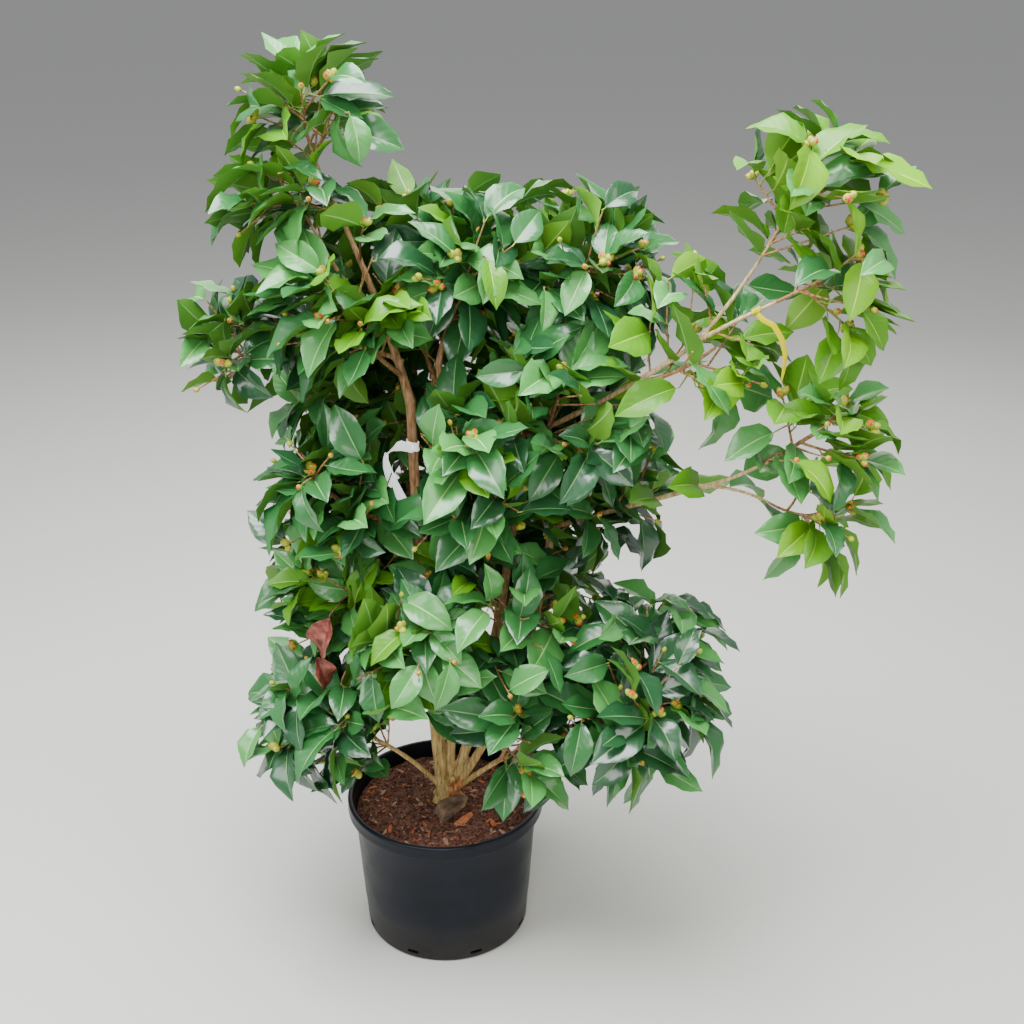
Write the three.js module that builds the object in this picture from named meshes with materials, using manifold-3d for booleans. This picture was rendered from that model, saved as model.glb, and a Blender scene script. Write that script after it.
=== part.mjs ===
import * as THREE from "three";
import { mergeVertices } from "three/addons/utils/BufferGeometryUtils.js";
import Module from "manifold-3d";

const wasm = await Module();
wasm.setup();

// A camellia shrub in a 25 litre nursery pot. Sizes are millimetres and degrees.
// The underside of the pot lies at zero height, the side seen in front faces -Y,
// and bearings are counted in plan from +X towards +Y.

const gap = 0.3; // clearance between two pieces that meet
const up = new THREE.Vector3(0, 0, 1);
const goldenAngle = 137.5; // turn from one leaf or shoot to the next

const pot = {
  rimRadius: 180,
  neckRadius: 168,
  baseRadius: 150,
  height: 269,
  lipDrop: 24,
  lipWidth: 8,
  lipRound: 3,
  wall: 3,
  floor: 4,
  footBevel: 5,
  sides: 32,
};
const drain = { count: 8, width: 22, height: 7, level: 14, depth: 16 };
const mix = { level: 245, crown: 3, clearance: 0.5, moundRadius: 57 };

const foot = {
  x: 3, y: 14, height: 44, flare: 30, waist: 19, top: 22, leanBearing: 20, leanRise: 87,
  lobes: 5, lobeDepth: 0.13, flarePower: 4, widenFrom: 0.3, widenTo: 0.8,
  domeFrom: 0.85, dome: 0.72, sides: 15, steps: 6, measured: 4,
};
const stub = { at: 0.55, inset: 6, bearing: -72, rise: 54, length: 44, thick: 8, thin: 6.8, sides: 7 };

// Each limb leaves its parent at a share of the parent's length, shifted sideways by inset.
// It starts at one bearing and rise, ends at another, and tapers from thick to thin radius.
const limbSizes = {
  stem_leader: {
    on: "trunk", at: 0.5, inset: 9, bearing: 186, rise: 85, length: 752,
    endBearing: 130, endRise: 88.5, thick: 11.5, thin: 8.5,
  },
  stem_leader_upper: {
    on: "stem_leader", at: 1, bearing: 182, rise: 76, length: 380,
    endBearing: 179, endRise: 66, thick: 8.2, thin: 3.4,
  },
  bough_crown_left: {
    on: "stem_leader_upper", at: 0.3, bearing: 190, rise: 50, length: 222,
    endBearing: 186, endRise: 66, thick: 4.6, thin: 2.8,
  },
  bough_arm_left: {
    on: "stem_leader_upper", at: 0.2, bearing: 178, rise: 24, length: 228,
    endBearing: 187, endRise: -18, thick: 4.2, thin: 2.8,
  },
  stem_middle: {
    on: "trunk", at: 0.6, inset: 5, bearing: 50, rise: 85, length: 805,
    endBearing: 190, endRise: 86, thick: 9.5, thin: 6,
  },
  stem_middle_upper: {
    on: "stem_middle", at: 1, bearing: 20, rise: 80, length: 105,
    endBearing: -25, endRise: 62, thick: 5.8, thin: 3.6,
  },
  stem_right: {
    on: "trunk", at: 0.52, inset: 9, bearing: -5, rise: 72, length: 535,
    endBearing: -6, endRise: 84, thick: 10, thin: 7.5,
  },
  stem_right_upper: {
    on: "stem_right", at: 1, bearing: 10, rise: 86, length: 380,
    endBearing: 3, endRise: 72, thick: 7.2, thin: 3.4,
  },
  stem_side: {
    on: "trunk", at: 0.3, inset: 8, bearing: -15, rise: 58, length: 625,
    endBearing: 45, endRise: 84, thick: 8.5, thin: 5.5,
  },
  stem_back: {
    on: "trunk", at: 0.5, inset: 8, bearing: 110, rise: 72, length: 545,
    endBearing: 125, endRise: 78, thick: 9, thin: 5,
  },
  bough_upper_right: {
    on: "stem_right_upper", at: 0.46, bearing: -38, rise: 29, length: 400,
    endBearing: -34, endRise: 40, thick: 5.4, thin: 4,
  },
  bough_upper_right_tip: {
    on: "bough_upper_right", at: 1, bearing: -22, rise: 34, length: 115,
    endBearing: -10, endRise: 28, thick: 3.8, thin: 3,
  },
  bough_upper_right_fork: {
    on: "bough_upper_right", at: 0.94, bearing: -12, rise: 52, length: 182,
    endBearing: -2, endRise: 62, thick: 3.6, thin: 2.6,
  },
  bough_lower_right: {
    on: "stem_side", at: 0.95, bearing: -26, rise: 25, length: 325,
    endBearing: -36, endRise: 26, thick: 4.9, thin: 4,
  },
  bough_lower_right_tip: {
    on: "bough_lower_right", at: 1, bearing: -28, rise: 28, length: 112,
    endBearing: -22, endRise: 38, thick: 3.6, thin: 2.6,
  },
  bough_lower_right_fork: {
    on: "bough_lower_right", at: 0.93, bearing: -22, rise: 8, length: 112,
    endBearing: -8, endRise: -28, thick: 3.4, thin: 2.6,
  },
  bough_low_left: {
    on: "trunk", at: 0.3, inset: 6, bearing: 205, rise: 58, length: 246,
    endBearing: 210, endRise: 36, thick: 5.2, thin: 3.6,
  },
  bough_low_right: {
    on: "trunk", at: 0.25, inset: 7, bearing: -30, rise: 48, length: 312,
    endBearing: -22, endRise: 34, thick: 5.8, thin: 3.6,
  },
};

// A limb has more sides when it is thick, and a step for each stretch of its length.
const limbForm = { sides: 5, thickSides: 6, thickFrom: 7, stepLength: 100, leastSteps: 2 };

// Each mass of foliage sits on a limb. Its stem reaches out to the middle of its space,
// which is spread wide, and a number of leafy shoots grow from it.
const massSizes = {
  foliage_crown_top: { on: "stem_leader_upper", at: 1, bearing: 185, rise: 84, reach: 92, spread: 118 },
  foliage_crown_left: { on: "bough_crown_left", at: 1, bearing: 200, rise: 30, reach: 34, spread: 104 },
  foliage_arm_left: { on: "bough_arm_left", at: 1, bearing: 180, rise: 16, reach: 42, spread: 98 },
  foliage_crown_front: {
    on: "stem_leader_upper", at: 0.12, bearing: 231, rise: 50, reach: 160, spread: 130,
  },
  foliage_crown_middle: { on: "stem_middle_upper", at: 1, bearing: -66, rise: 48, reach: 74, spread: 126 },
  foliage_crown_right: { on: "stem_right_upper", at: 1, bearing: -10, rise: 62, reach: 78, spread: 130 },
  foliage_shoulder: { on: "stem_right_upper", at: 0.3, bearing: -65, rise: 52, reach: 174, spread: 138 },
  foliage_side_right: { on: "stem_side", at: 1, bearing: 10, rise: 40, reach: 80, spread: 120 },
  foliage_front_middle: { on: "stem_middle", at: 0.72, bearing: -79, rise: 33, reach: 188, spread: 144 },
  foliage_front_left: { on: "stem_leader", at: 0.7, bearing: 217, rise: 33, reach: 160, spread: 124 },
  foliage_side_left: { on: "stem_leader", at: 0.45, bearing: 200, rise: 28, reach: 158, spread: 116 },
  foliage_low_left: { on: "bough_low_left", at: 1, bearing: 190, rise: 38, reach: 66, spread: 128 },
  foliage_low_front: { on: "stem_leader", at: 0.3, bearing: -90, rise: 47, reach: 194, spread: 134 },
  foliage_front_right: { on: "stem_side", at: 0.62, bearing: -112, rise: 32, reach: 150, spread: 122 },
  foliage_low_middle: { on: "bough_low_right", at: 0.45, bearing: -79, rise: 51, reach: 160, spread: 124 },
  foliage_low_right: { on: "bough_low_right", at: 1, bearing: -14, rise: 40, reach: 124, spread: 160 },
  foliage_upper_right_tip: {
    on: "bough_upper_right_tip", at: 1, bearing: -7, rise: 14, reach: 60, spread: 110,
  },
  foliage_upper_right_fork: {
    on: "bough_upper_right_fork", at: 1, bearing: -13, rise: 42, reach: 86, spread: 116,
  },
  foliage_upper_right_near: {
    on: "bough_upper_right", at: 0.62, bearing: -30, rise: 30, reach: 120, spread: 116,
  },
  foliage_lower_right_tip: {
    on: "bough_lower_right_tip", at: 1, bearing: -18, rise: 24, reach: 58, spread: 108,
  },
  foliage_lower_right_fork: {
    on: "bough_lower_right_fork", at: 1, bearing: -20, rise: -10, reach: 62, spread: 104,
  },
  foliage_back_crown: { on: "stem_middle", at: 0.92, bearing: 118, rise: 60, reach: 215, spread: 150 },
  foliage_back_left: { on: "stem_back", at: 1, bearing: 170, rise: 60, reach: 205, spread: 156 },
  foliage_back_right: { on: "stem_right_upper", at: 0.25, bearing: 76, rise: 38, reach: 188, spread: 152 },
  foliage_back_middle: { on: "stem_back", at: 0.9, bearing: 50, rise: 48, reach: 172, spread: 146 },
  foliage_back_low_left: { on: "stem_back", at: 0.45, bearing: 150, rise: 42, reach: 205, spread: 150 },
  foliage_back_low_right: { on: "stem_right", at: 0.6, bearing: 76, rise: 28, reach: 182, spread: 152 },
};

// The stem of a mass goes past the middle of its space by a share of its reach.
const massStem = {
  thick: 4.8, thin: 4.2, ofLimb: 0.9, sides: 3, steps: 2, measured: 6,
  past: 0.3, sag: 14, turnUp: 0.35,
};
const massLimit = 1.32; // how far past its spread a mass may reach

// Shoots leave the stem between two shares of its length. Tilts and turns are degrees, lengths
// are shares of the spread, and each may vary by its play.
const shootSize = {
  perSpread: 0.0365, tries: 24, sides: 3, thick: 2.2, thin: 2, from: 0.34, to: 0.9, turnPlay: 160,
  tilt: 58, tiltPlay: 24, length: 0.6, lengthPlay: 0.36, lift: 0.3, apart: 0.4,
};
const lastShoot = { at: 0.97, tilt: 8, length: 0.48 };

// Leaves stand on the outer part of a shoot, closer to it towards the tip, and hang.
const leafSize = { length: 118, width: 68, thickness: 5, start: 0.3, droop: 0.13, widest: 0.44 };
const leafPose = {
  perShoot: 5, tries: 20, from: 0.38, to: 0.96, stray: 0.12, turnPlay: 240, tilt: 76,
  closing: 22, tiltPlay: 14, hang: 0.3, hangPlay: 0.3, scale: 0.84, scalePlay: 0.3,
};
const facing = { up: 0.7, outward: 0.5, play: 0.5 }; // how a leaf's upper side is turned
const smallerLeaf = { after: 10, scale: 0.74 }; // the later tries are made with a smaller blade
const bud = { radius: 8.4, stretch: 1.25, share: 0.4, past: 0.8 };
const keepOff = 8; // how far leaves and twigs stay from other limbs
const leafSpacing = { room: 8, from: 0.25 }; // how far the midribs in one mass stay apart
const seedRange = 1000000;
const nearlyUpright = 0.9; // a heading this steep has no bearing to speak of
const overRim = { radius: 196, height: 280, low: 262 };

// Flat straps looped round a limb: a blank label and a tie.
const label = { on: "stem_leader", at: 0.9, width: 14, thickness: 1.2, drop: 92, lean: 14 };
const tie = { on: "bough_upper_right_tip", at: 0.72, width: 6, thickness: 1.2, drop: 74, lean: -22 };
const strapLoop = { play: 0.8, sides: 12 }; // play is the room between a loop and its limb

function material(color, roughness, metalness = 0) {
  return new THREE.MeshStandardMaterial({ color, roughness, metalness });
}

const blackPlastic = material(0x1b1e25, 0.42);
const pottingMix = material(0x54301f, 0.95);
const bark = material(0x9c7448, 0.78);
const leafGreen = material(0x2c6e35, 0.38);
const whitePlastic = material(0xe4e7ee, 0.5);
const yellowPlastic = material(0xf2dc12, 0.5);

// Repeatable draws between 0 and 1.
function makeDraw(seed) {
  let state = (seed * 7919 + 17) >>> 0;
  return () => {
    state = (Math.imul(state, 1664525) + 1013904223) >>> 0;
    return state / 4294967296;
  };
}

function heading(bearing, rise) {
  const turn = THREE.MathUtils.degToRad(bearing);
  const lift = THREE.MathUtils.degToRad(rise);
  return new THREE.Vector3(
    Math.cos(turn) * Math.cos(lift),
    Math.sin(turn) * Math.cos(lift),
    Math.sin(lift),
  );
}

// An even bend of the given length that leaves start along one heading and ends along another.
function bend(start, first, last, length) {
  const middle = start.clone().addScaledVector(first, length / 2);
  const end = middle.clone().addScaledVector(last, length / 2);
  return new THREE.QuadraticBezierCurve3(start, middle, end);
}

function bareGeometry(geometry) {
  geometry.deleteAttribute("normal");
  geometry.deleteAttribute("uv");
  return mergeVertices(geometry, 1e-4);
}

function solidOf(geometry) {
  const closed = bareGeometry(geometry);
  const mesh = new wasm.Mesh({
    numProp: 3,
    vertProperties: new Float32Array(closed.attributes.position.array),
    triVerts: new Uint32Array(closed.index.array),
  });
  return new wasm.Manifold(mesh);
}

function geometryOf(solid) {
  const { vertProperties, triVerts } = solid.getMesh();
  const geometry = new THREE.BufferGeometry();
  geometry.setAttribute("position", new THREE.BufferAttribute(vertProperties, 3));
  geometry.setIndex(new THREE.BufferAttribute(triVerts, 1));
  geometry.computeVertexNormals();
  return geometry;
}

// The outer shell of the largest body: loose scraps and sealed hollows are left behind.
function wholeOf(solid) {
  const bodies = solid.decompose();
  return bodies.reduce((best, body) => (body.volume() > best.volume() ? body : best));
}

// A limb swept along a curve. radiusAt gives its radius at a share of its length and an angle
// round it, and grow thickens and lengthens it evenly.
function sweep(curve, sides, steps, radiusAt, grow = 0) {
  const geometry = bareGeometry(new THREE.CylinderGeometry(1, 1, 1, sides, steps));
  const frames = curve.computeFrenetFrames(steps, false);
  const corners = geometry.attributes.position;
  for (let i = 0; i < corners.count; i += 1) {
    const share = corners.getY(i) + 0.5;
    const step = Math.round(share * steps);
    const radius = radiusAt(share, Math.atan2(corners.getZ(i), corners.getX(i))) + grow;
    const past = step === 0 ? -grow : step === steps ? grow : 0;
    const place = curve
      .getPointAt(step / steps)
      .addScaledVector(frames.tangents[step], past)
      .addScaledVector(frames.binormals[step], corners.getX(i) * radius)
      .addScaledVector(frames.normals[step], corners.getZ(i) * radius);
    corners.setXYZ(i, place.x, place.y, place.z);
  }
  return geometry;
}

function taper(thick, thin) {
  return (share) => thick + (thin - thick) * share;
}

function makePotSolid() {
  const neckLevel = pot.height - pot.lipDrop;
  const slope = (pot.neckRadius - pot.baseRadius) / neckLevel;
  const wallRadius = (level) => pot.baseRadius + slope * level;
  const bevel = pot.footBevel;
  const outline = [
    [0, 0],
    [pot.baseRadius - bevel, 0],
    [wallRadius(bevel), bevel],
    [wallRadius(neckLevel), neckLevel],
    [pot.rimRadius - pot.lipRound, neckLevel],
    [pot.rimRadius, neckLevel + pot.lipRound],
    [pot.rimRadius, pot.height - pot.lipRound],
    [pot.rimRadius - pot.lipRound, pot.height],
    [pot.rimRadius - pot.lipWidth, pot.height],
    [wallRadius(neckLevel) - pot.wall, neckLevel - pot.wall],
    [wallRadius(pot.floor) - pot.wall, pot.floor],
    [0, pot.floor],
  ].map(([x, y]) => new THREE.Vector2(x, y));
  const shell = new THREE.LatheGeometry(outline, pot.sides).rotateX(Math.PI / 2);
  let solid = solidOf(shell);
  for (let i = 0; i < drain.count; i += 1) {
    const turn = ((i + 0.5) / drain.count) * 2 * Math.PI;
    const slot = new THREE.BoxGeometry(drain.depth, drain.width, drain.height)
      .translate(wallRadius(drain.level), 0, drain.level)
      .rotateZ(turn);
    solid = solid.subtract(solidOf(slot));
  }
  return solid;
}

function makeMixSolid() {
  const neckLevel = pot.height - pot.lipDrop;
  const slope = (pot.neckRadius - pot.baseRadius) / neckLevel;
  const innerRadius = (level) => pot.baseRadius + slope * level - pot.wall - gap;
  const bottom = pot.floor + gap;
  const top = mix.level - mix.crown;
  const outline = [
    [0, bottom],
    [innerRadius(bottom) - mix.clearance, bottom],
    [innerRadius(top) - mix.clearance, top],
    [mix.moundRadius, mix.level],
    [0, mix.level],
  ].map(([x, y]) => new THREE.Vector2(x, y));
  return solidOf(new THREE.LatheGeometry(outline, pot.sides).rotateX(Math.PI / 2));
}

// The foot of the clump: buttressed at the soil, waisted above it, and domed where the stems part.
function footRadius(share, angle) {
  const lobe = 1 + foot.lobeDepth * Math.cos(foot.lobes * angle);
  const flare = (foot.flare - foot.waist) * Math.pow(1 - share, foot.flarePower);
  const widened = THREE.MathUtils.smoothstep(share, foot.widenFrom, foot.widenTo);
  const widening = (foot.top - foot.waist) * widened;
  const dome = share > foot.domeFrom ? foot.dome : 1;
  return (foot.waist + flare + widening) * lobe * dome;
}

// The short trunk, with the sawn stub of a lost stem on its side.
function makeTrunk() {
  const base = new THREE.Vector3(foot.x, foot.y, mix.level + gap);
  const curve = bend(base, up, heading(foot.leanBearing, foot.leanRise), foot.height);
  const stubStart = curve.getPointAt(stub.at).addScaledVector(heading(stub.bearing, 0), stub.inset);
  const stubEnd = stubStart.clone().addScaledVector(heading(stub.bearing, stub.rise), stub.length);
  const stubLine = new THREE.LineCurve3(stubStart, stubEnd);
  const form = (grow) => {
    const clump = solidOf(sweep(curve, foot.sides, foot.steps, footRadius, grow));
    return clump.add(solidOf(sweep(stubLine, stub.sides, 1, taper(stub.thick, stub.thin), grow)));
  };
  return { name: "trunk", curve, form, radiusAt: () => foot.waist, steps: foot.measured };
}

function makeLimb(name, size, parent) {
  const start = parent.curve.getPointAt(size.at);
  start.addScaledVector(heading(size.bearing, 0), size.inset ?? 0);
  const first = heading(size.bearing, size.rise);
  const last = heading(size.endBearing, size.endRise);
  if (size.at === 1) start.addScaledVector(first, gap);
  const curve = bend(start, first, last, size.length);
  const sides = size.thick > limbForm.thickFrom ? limbForm.thickSides : limbForm.sides;
  const steps = Math.max(limbForm.leastSteps, Math.round(size.length / limbForm.stepLength));
  const radiusAt = taper(size.thick, size.thin);
  const form = (grow) => solidOf(sweep(curve, sides, steps, radiusAt, grow));
  return { name, curve, form, radiusAt, steps: steps * 2 };
}

// Short straight stretches of a limb, for measuring how near something comes to it.
function stretchesOf(limb) {
  const stretches = [];
  for (let i = 0; i < limb.steps; i += 1) {
    stretches.push({
      owner: limb.name,
      from: limb.curve.getPointAt(i / limb.steps),
      to: limb.curve.getPointAt((i + 1) / limb.steps),
      radius: limb.radiusAt(i / limb.steps),
    });
  }
  return stretches;
}

// The least distance between two straight stretches.
function distanceBetween(a, b, c, d) {
  const along = b.clone().sub(a);
  const across = d.clone().sub(c);
  const between = a.clone().sub(c);
  const aa = along.dot(along);
  const cc = across.dot(across);
  const ac = along.dot(across);
  const ab = along.dot(between);
  const cb = across.dot(between);
  const spread = aa * cc - ac * ac;
  const clamp = (value) => THREE.MathUtils.clamp(value, 0, 1);
  let s = spread > 1e-9 ? clamp((ac * cb - cc * ab) / spread) : 0;
  const t = clamp((ac * s + cb) / cc);
  s = clamp((ac * t - ab) / aa);
  return a.clone().addScaledVector(along, s).distanceTo(c.clone().addScaledVector(across, t));
}

const limbs = new Map();
limbs.set("trunk", makeTrunk());
for (const [name, size] of Object.entries(limbSizes)) {
  limbs.set(name, makeLimb(name, size, limbs.get(size.on)));
}

// Where each mass stands: its stem's curve, the middle of its space and the space's radius.
function placeMass(name, size, order) {
  const limb = limbs.get(size.on);
  const start = limb.curve.getPointAt(size.at);
  const onTip = size.at === 1;
  const tipHeading = limb.curve.getTangentAt(1);
  const aim = heading(size.bearing, size.rise);
  const first = onTip ? tipHeading : heading(size.bearing, size.rise - massStem.sag);
  if (onTip) start.addScaledVector(first, gap);
  const last = aim.clone().addScaledVector(up, massStem.turnUp).normalize();
  const curve = bend(start, first, last, size.reach * (1 + massStem.past));
  const middle = start.clone().addScaledVector(aim, size.reach);
  const thick = Math.min(massStem.thick, limb.radiusAt(size.at) * massStem.ofLimb);
  const radiusAt = taper(thick, massStem.thin);
  const steps = massStem.measured;
  return { name, curve, middle, spread: size.spread, radiusAt, steps, seed: order + 1, onTip, limb };
}

const masses = Object.entries(massSizes).map(([name, size], order) => placeMass(name, size, order));

// A point is in a mass's space when it is within reach of its middle and on its own side of the
// plane to each neighbour.
function inSpace(point, mass) {
  const own = point.distanceToSquared(mass.middle) - mass.spread ** 2;
  if (point.distanceTo(mass.middle) > mass.spread * massLimit) return false;
  const height = Math.hypot(point.x, point.y) < overRim.radius ? overRim.height : overRim.low;
  if (point.z < height) return false;
  return masses.every((other) => {
    if (other === mass) return true;
    const margin = 2 * gap * mass.middle.distanceTo(other.middle);
    return own + margin < point.distanceToSquared(other.middle) - other.spread ** 2;
  });
}

// The hanging end of a strap, which leaves keep off as they do off limbs.
function hangingEnd(size) {
  const limb = limbs.get(size.on);
  const from = limb.curve.getPointAt(size.at);
  from.y -= limb.radiusAt(size.at);
  const drop = new THREE.Vector3(Math.sin(THREE.MathUtils.degToRad(-size.lean)), 0, -1);
  const to = from.clone().addScaledVector(drop, size.drop);
  return { owner: size.on, from, to, radius: size.width / 2 };
}

const obstacles = [...limbs.values(), ...masses].flatMap(stretchesOf);
obstacles.push(hangingEnd(label), hangingEnd(tie));

function isClear(lines, mass) {
  return obstacles.every((stretch) => {
    if (stretch.owner === mass.name) return true;
    const room = stretch.radius + keepOff;
    return lines.every(([a, b]) => distanceBetween(a, b, stretch.from, stretch.to) > room);
  });
}

// A blade's corners: its root inside the twig, its tip, and one on each edge. The halves fall
// away from the midrib and the tip hangs.
function leafCorners(root, along, normal, length, width) {
  const side = normal.clone().cross(along);
  const at = (a, b, n) =>
    root.clone().addScaledVector(along, a).addScaledVector(side, b).addScaledVector(normal, n);
  const dip = leafSize.droop * length;
  const edge = -dip * leafSize.widest - leafSize.thickness;
  return {
    root: at(leafSize.start, 0, 0),
    left: at(length * leafSize.widest, width / 2, edge),
    right: at(length * leafSize.widest, -width / 2, edge),
    tip: at(length, 0, -dip),
  };
}

// A four-faced blade: two halves above that meet in the midrib, and two faces below.
function leafGeometry(corners) {
  const geometry = bareGeometry(new THREE.TetrahedronGeometry(1));
  const points = geometry.attributes.position;
  for (let i = 0; i < points.count; i += 1) {
    const ahead = points.getX(i) > 0;
    const aside = points.getY(i) > 0;
    let corner = ahead ? corners.right : corners.left;
    if (ahead && aside) corner = corners.tip;
    else if (!ahead && !aside) corner = corners.root;
    points.setXYZ(i, corner.x, corner.y, corner.z);
  }
  return geometry;
}

// The heading of a side growth: tilted away from its stem and turned round it.
function branchHeading(tangent, tilt, turn) {
  const side = Math.abs(tangent.z) > nearlyUpright ? new THREE.Vector3(1, 0, 0) : up;
  const across = side.clone().cross(tangent).normalize().applyAxisAngle(tangent, turn);
  return tangent.clone().multiplyScalar(Math.cos(tilt)).addScaledVector(across, Math.sin(tilt));
}

// The shoots of a mass: spiralling off its stem, the last at its tip. One that would leave the
// mass's space or touch a limb is turned and tried again.
function growShoots(mass, draw) {
  const count = Math.round(mass.spread * shootSize.perSpread);
  const shoots = [];
  for (let attempt = 0; attempt < count * shootSize.tries; attempt += 1) {
    const order = Math.floor(attempt / shootSize.tries);
    const last = order === count - 1;
    const spaced = shootSize.from + ((shootSize.to - shootSize.from) * order) / (count - 1);
    const share = last ? lastShoot.at : spaced;
    const turn = THREE.MathUtils.degToRad(order * goldenAngle + shootSize.turnPlay * draw());
    const tilted = shootSize.tilt + shootSize.tiltPlay * draw();
    const tilt = THREE.MathUtils.degToRad(last ? lastShoot.tilt : tilted);
    const varied = shootSize.length + shootSize.lengthPlay * draw();
    const length = mass.spread * (last ? lastShoot.length : varied);
    const seed = Math.floor(seedRange * draw());
    const budded = draw() < bud.share;
    if (shoots.some((shoot) => shoot.order === order)) continue;
    const root = mass.curve.getPointAt(share);
    const along = branchHeading(mass.curve.getTangentAt(share), tilt, turn);
    along.addScaledVector(up, shootSize.lift).normalize();
    const tip = root.clone().addScaledVector(along, length);
    if (!inSpace(root, mass) || !inSpace(tip, mass)) continue;
    if (!isClear([[root, tip]], mass)) continue;
    if (shoots.some((shoot) => shoot.tip.distanceTo(tip) < mass.spread * shootSize.apart)) continue;
    shoots.push({ order, root, tip, along, seed, budded });
  }
  return shoots;
}

// One leaf of a shoot. The leaves stand in a spiral that closes up to a rosette at the tip.
function growLeaf(shoot, mass, order, size, draw) {
  const outward = mass.middle.clone().setZ(0).normalize();
  const spaced = leafPose.from + ((leafPose.to - leafPose.from) * order) / (leafPose.perShoot - 1);
  const share = spaced - leafPose.stray * draw();
  const root = shoot.root.clone().lerp(shoot.tip, share);
  const turn = THREE.MathUtils.degToRad(order * goldenAngle + leafPose.turnPlay * draw());
  const closed = leafPose.tilt - leafPose.closing * share;
  const tilt = THREE.MathUtils.degToRad(closed + leafPose.tiltPlay * draw());
  const along = branchHeading(shoot.along, tilt, turn);
  along.addScaledVector(up, -leafPose.hang - leafPose.hangPlay * draw()).normalize();
  const normal = up.clone().multiplyScalar(facing.up).addScaledVector(outward, facing.outward);
  const sway = new THREE.Vector3(draw() - 0.5, draw() - 0.5, 0);
  normal.addScaledVector(sway, facing.play);
  normal.addScaledVector(along, -normal.dot(along)).normalize();
  const scale = size * (leafPose.scale + leafPose.scalePlay * draw());
  return leafCorners(root, along, normal, leafSize.length * scale, leafSize.width * scale);
}

function leafLines({ root, left, right, tip }) {
  return [
    [root, tip],
    [left, right],
    [root, left],
    [root, right],
    [left, tip],
    [right, tip],
  ];
}

function budGeometry(place, along) {
  const geometry = new THREE.OctahedronGeometry(bud.radius).scale(1, 1, bud.stretch);
  const turn = new THREE.Quaternion().setFromUnitVectors(up, along);
  return geometry.applyQuaternion(turn).translate(place.x, place.y, place.z);
}

// The leaves of one shoot. A leaf that would leave the space, come near a limb or cross another
// leaf or shoot is turned and tried again, and left out if no try fits.
function growLeaves(shoot, mass, woody, blades) {
  for (let order = 0; order < leafPose.perShoot; order += 1) {
    const draw = makeDraw(shoot.seed + order);
    for (let attempt = 0; attempt < leafPose.tries; attempt += 1) {
      const size = attempt < smallerLeaf.after ? 1 : smallerLeaf.scale;
      const corners = growLeaf(shoot, mass, order, size, draw);
      if (!Object.values(corners).every((point) => inSpace(point, mass))) continue;
      if (!isClear(leafLines(corners), mass)) continue;
      const midrib = [corners.root.clone().lerp(corners.tip, leafSpacing.from), corners.tip];
      const near = (blade) => distanceBetween(...midrib, ...blade.midrib) < leafSpacing.room;
      if (blades.some(near)) continue;
      const solid = solidOf(leafGeometry(corners));
      const crosses = (other) => solid.intersect(other).volume() > 0;
      if (blades.some((blade) => crosses(blade.solid))) continue;
      if (woody.some((wood) => wood !== shoot.solid && crosses(wood))) continue;
      blades.push({ midrib, solid });
      break;
    }
  }
}

function makeMassSolid(mass) {
  const draw = makeDraw(mass.seed);
  const stem = solidOf(sweep(mass.curve, massStem.sides, massStem.steps, mass.radiusAt));
  const shoots = growShoots(mass, draw);
  for (const shoot of shoots) {
    const line = new THREE.LineCurve3(shoot.root, shoot.tip);
    shoot.solid = solidOf(sweep(line, shootSize.sides, 1, taper(shootSize.thick, shootSize.thin)));
  }
  const woody = [stem, ...shoots.map((shoot) => shoot.solid)];
  const blades = [];
  const buds = [];
  for (const shoot of shoots) {
    growLeaves(shoot, mass, woody, blades);
    const place = shoot.tip.clone().addScaledVector(shoot.along, bud.radius * bud.past);
    if (shoot.budded && inSpace(place, mass)) buds.push(solidOf(budGeometry(place, shoot.along)));
  }
  let solid = wasm.Manifold.union([...woody, ...blades.map((blade) => blade.solid), ...buds]);
  if (!mass.onTip) solid = solid.subtract(mass.limb.form(gap));
  return wholeOf(solid);
}

// A flat strap looped round a limb, with its free end hanging down beside it.
function makeStrapSolid(size) {
  const limb = limbs.get(size.on);
  const middle = limb.curve.getPointAt(size.at);
  const tangent = limb.curve.getTangentAt(size.at);
  const inner = limb.radiusAt(size.at) + strapLoop.play;
  const outer = inner + size.thickness;
  const half = size.width / 2;
  const outline = [
    [inner, -half],
    [outer, -half],
    [outer, half],
    [inner, half],
    [inner, -half],
  ].map(([x, y]) => new THREE.Vector2(x, y));
  const turn = new THREE.Quaternion().setFromUnitVectors(new THREE.Vector3(0, 1, 0), tangent);
  const loop = new THREE.LatheGeometry(outline, strapLoop.sides)
    .applyQuaternion(turn)
    .translate(middle.x, middle.y, middle.z);
  const tail = new THREE.BoxGeometry(size.width, size.thickness, size.drop)
    .translate(0, 0, -size.drop / 2 + half)
    .rotateY(THREE.MathUtils.degToRad(size.lean))
    .translate(middle.x, middle.y - outer, middle.z);
  return solidOf(loop).add(solidOf(tail));
}

const group = new THREE.Group();
group.name = "camellia";

function addPiece(name, solid, look) {
  const mesh = new THREE.Mesh(geometryOf(solid), look);
  mesh.name = name;
  group.add(mesh);
}

addPiece("pot", makePotSolid(), blackPlastic);
addPiece("potting_mix", makeMixSolid(), pottingMix);

// A limb is cut 0.3 mm clear of those that were set before it.
const grown = [];
for (const limb of limbs.values()) {
  let solid = limb.form(0);
  for (const earlier of grown) solid = solid.subtract(earlier);
  grown.push(limb.form(gap));
  addPiece(limb.name, wholeOf(solid), bark);
}

addPiece("plant_label", makeStrapSolid(label), whitePlastic);
addPiece("branch_tie", makeStrapSolid(tie), yellowPlastic);
for (const mass of masses) {
  addPiece(mass.name, makeMassSolid(mass), leafGreen);
}

export default group;
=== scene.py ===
import bisect
import math
import random

import bpy
import numpy as np
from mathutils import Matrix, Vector, noise
from mathutils.bvhtree import BVHTree


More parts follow.
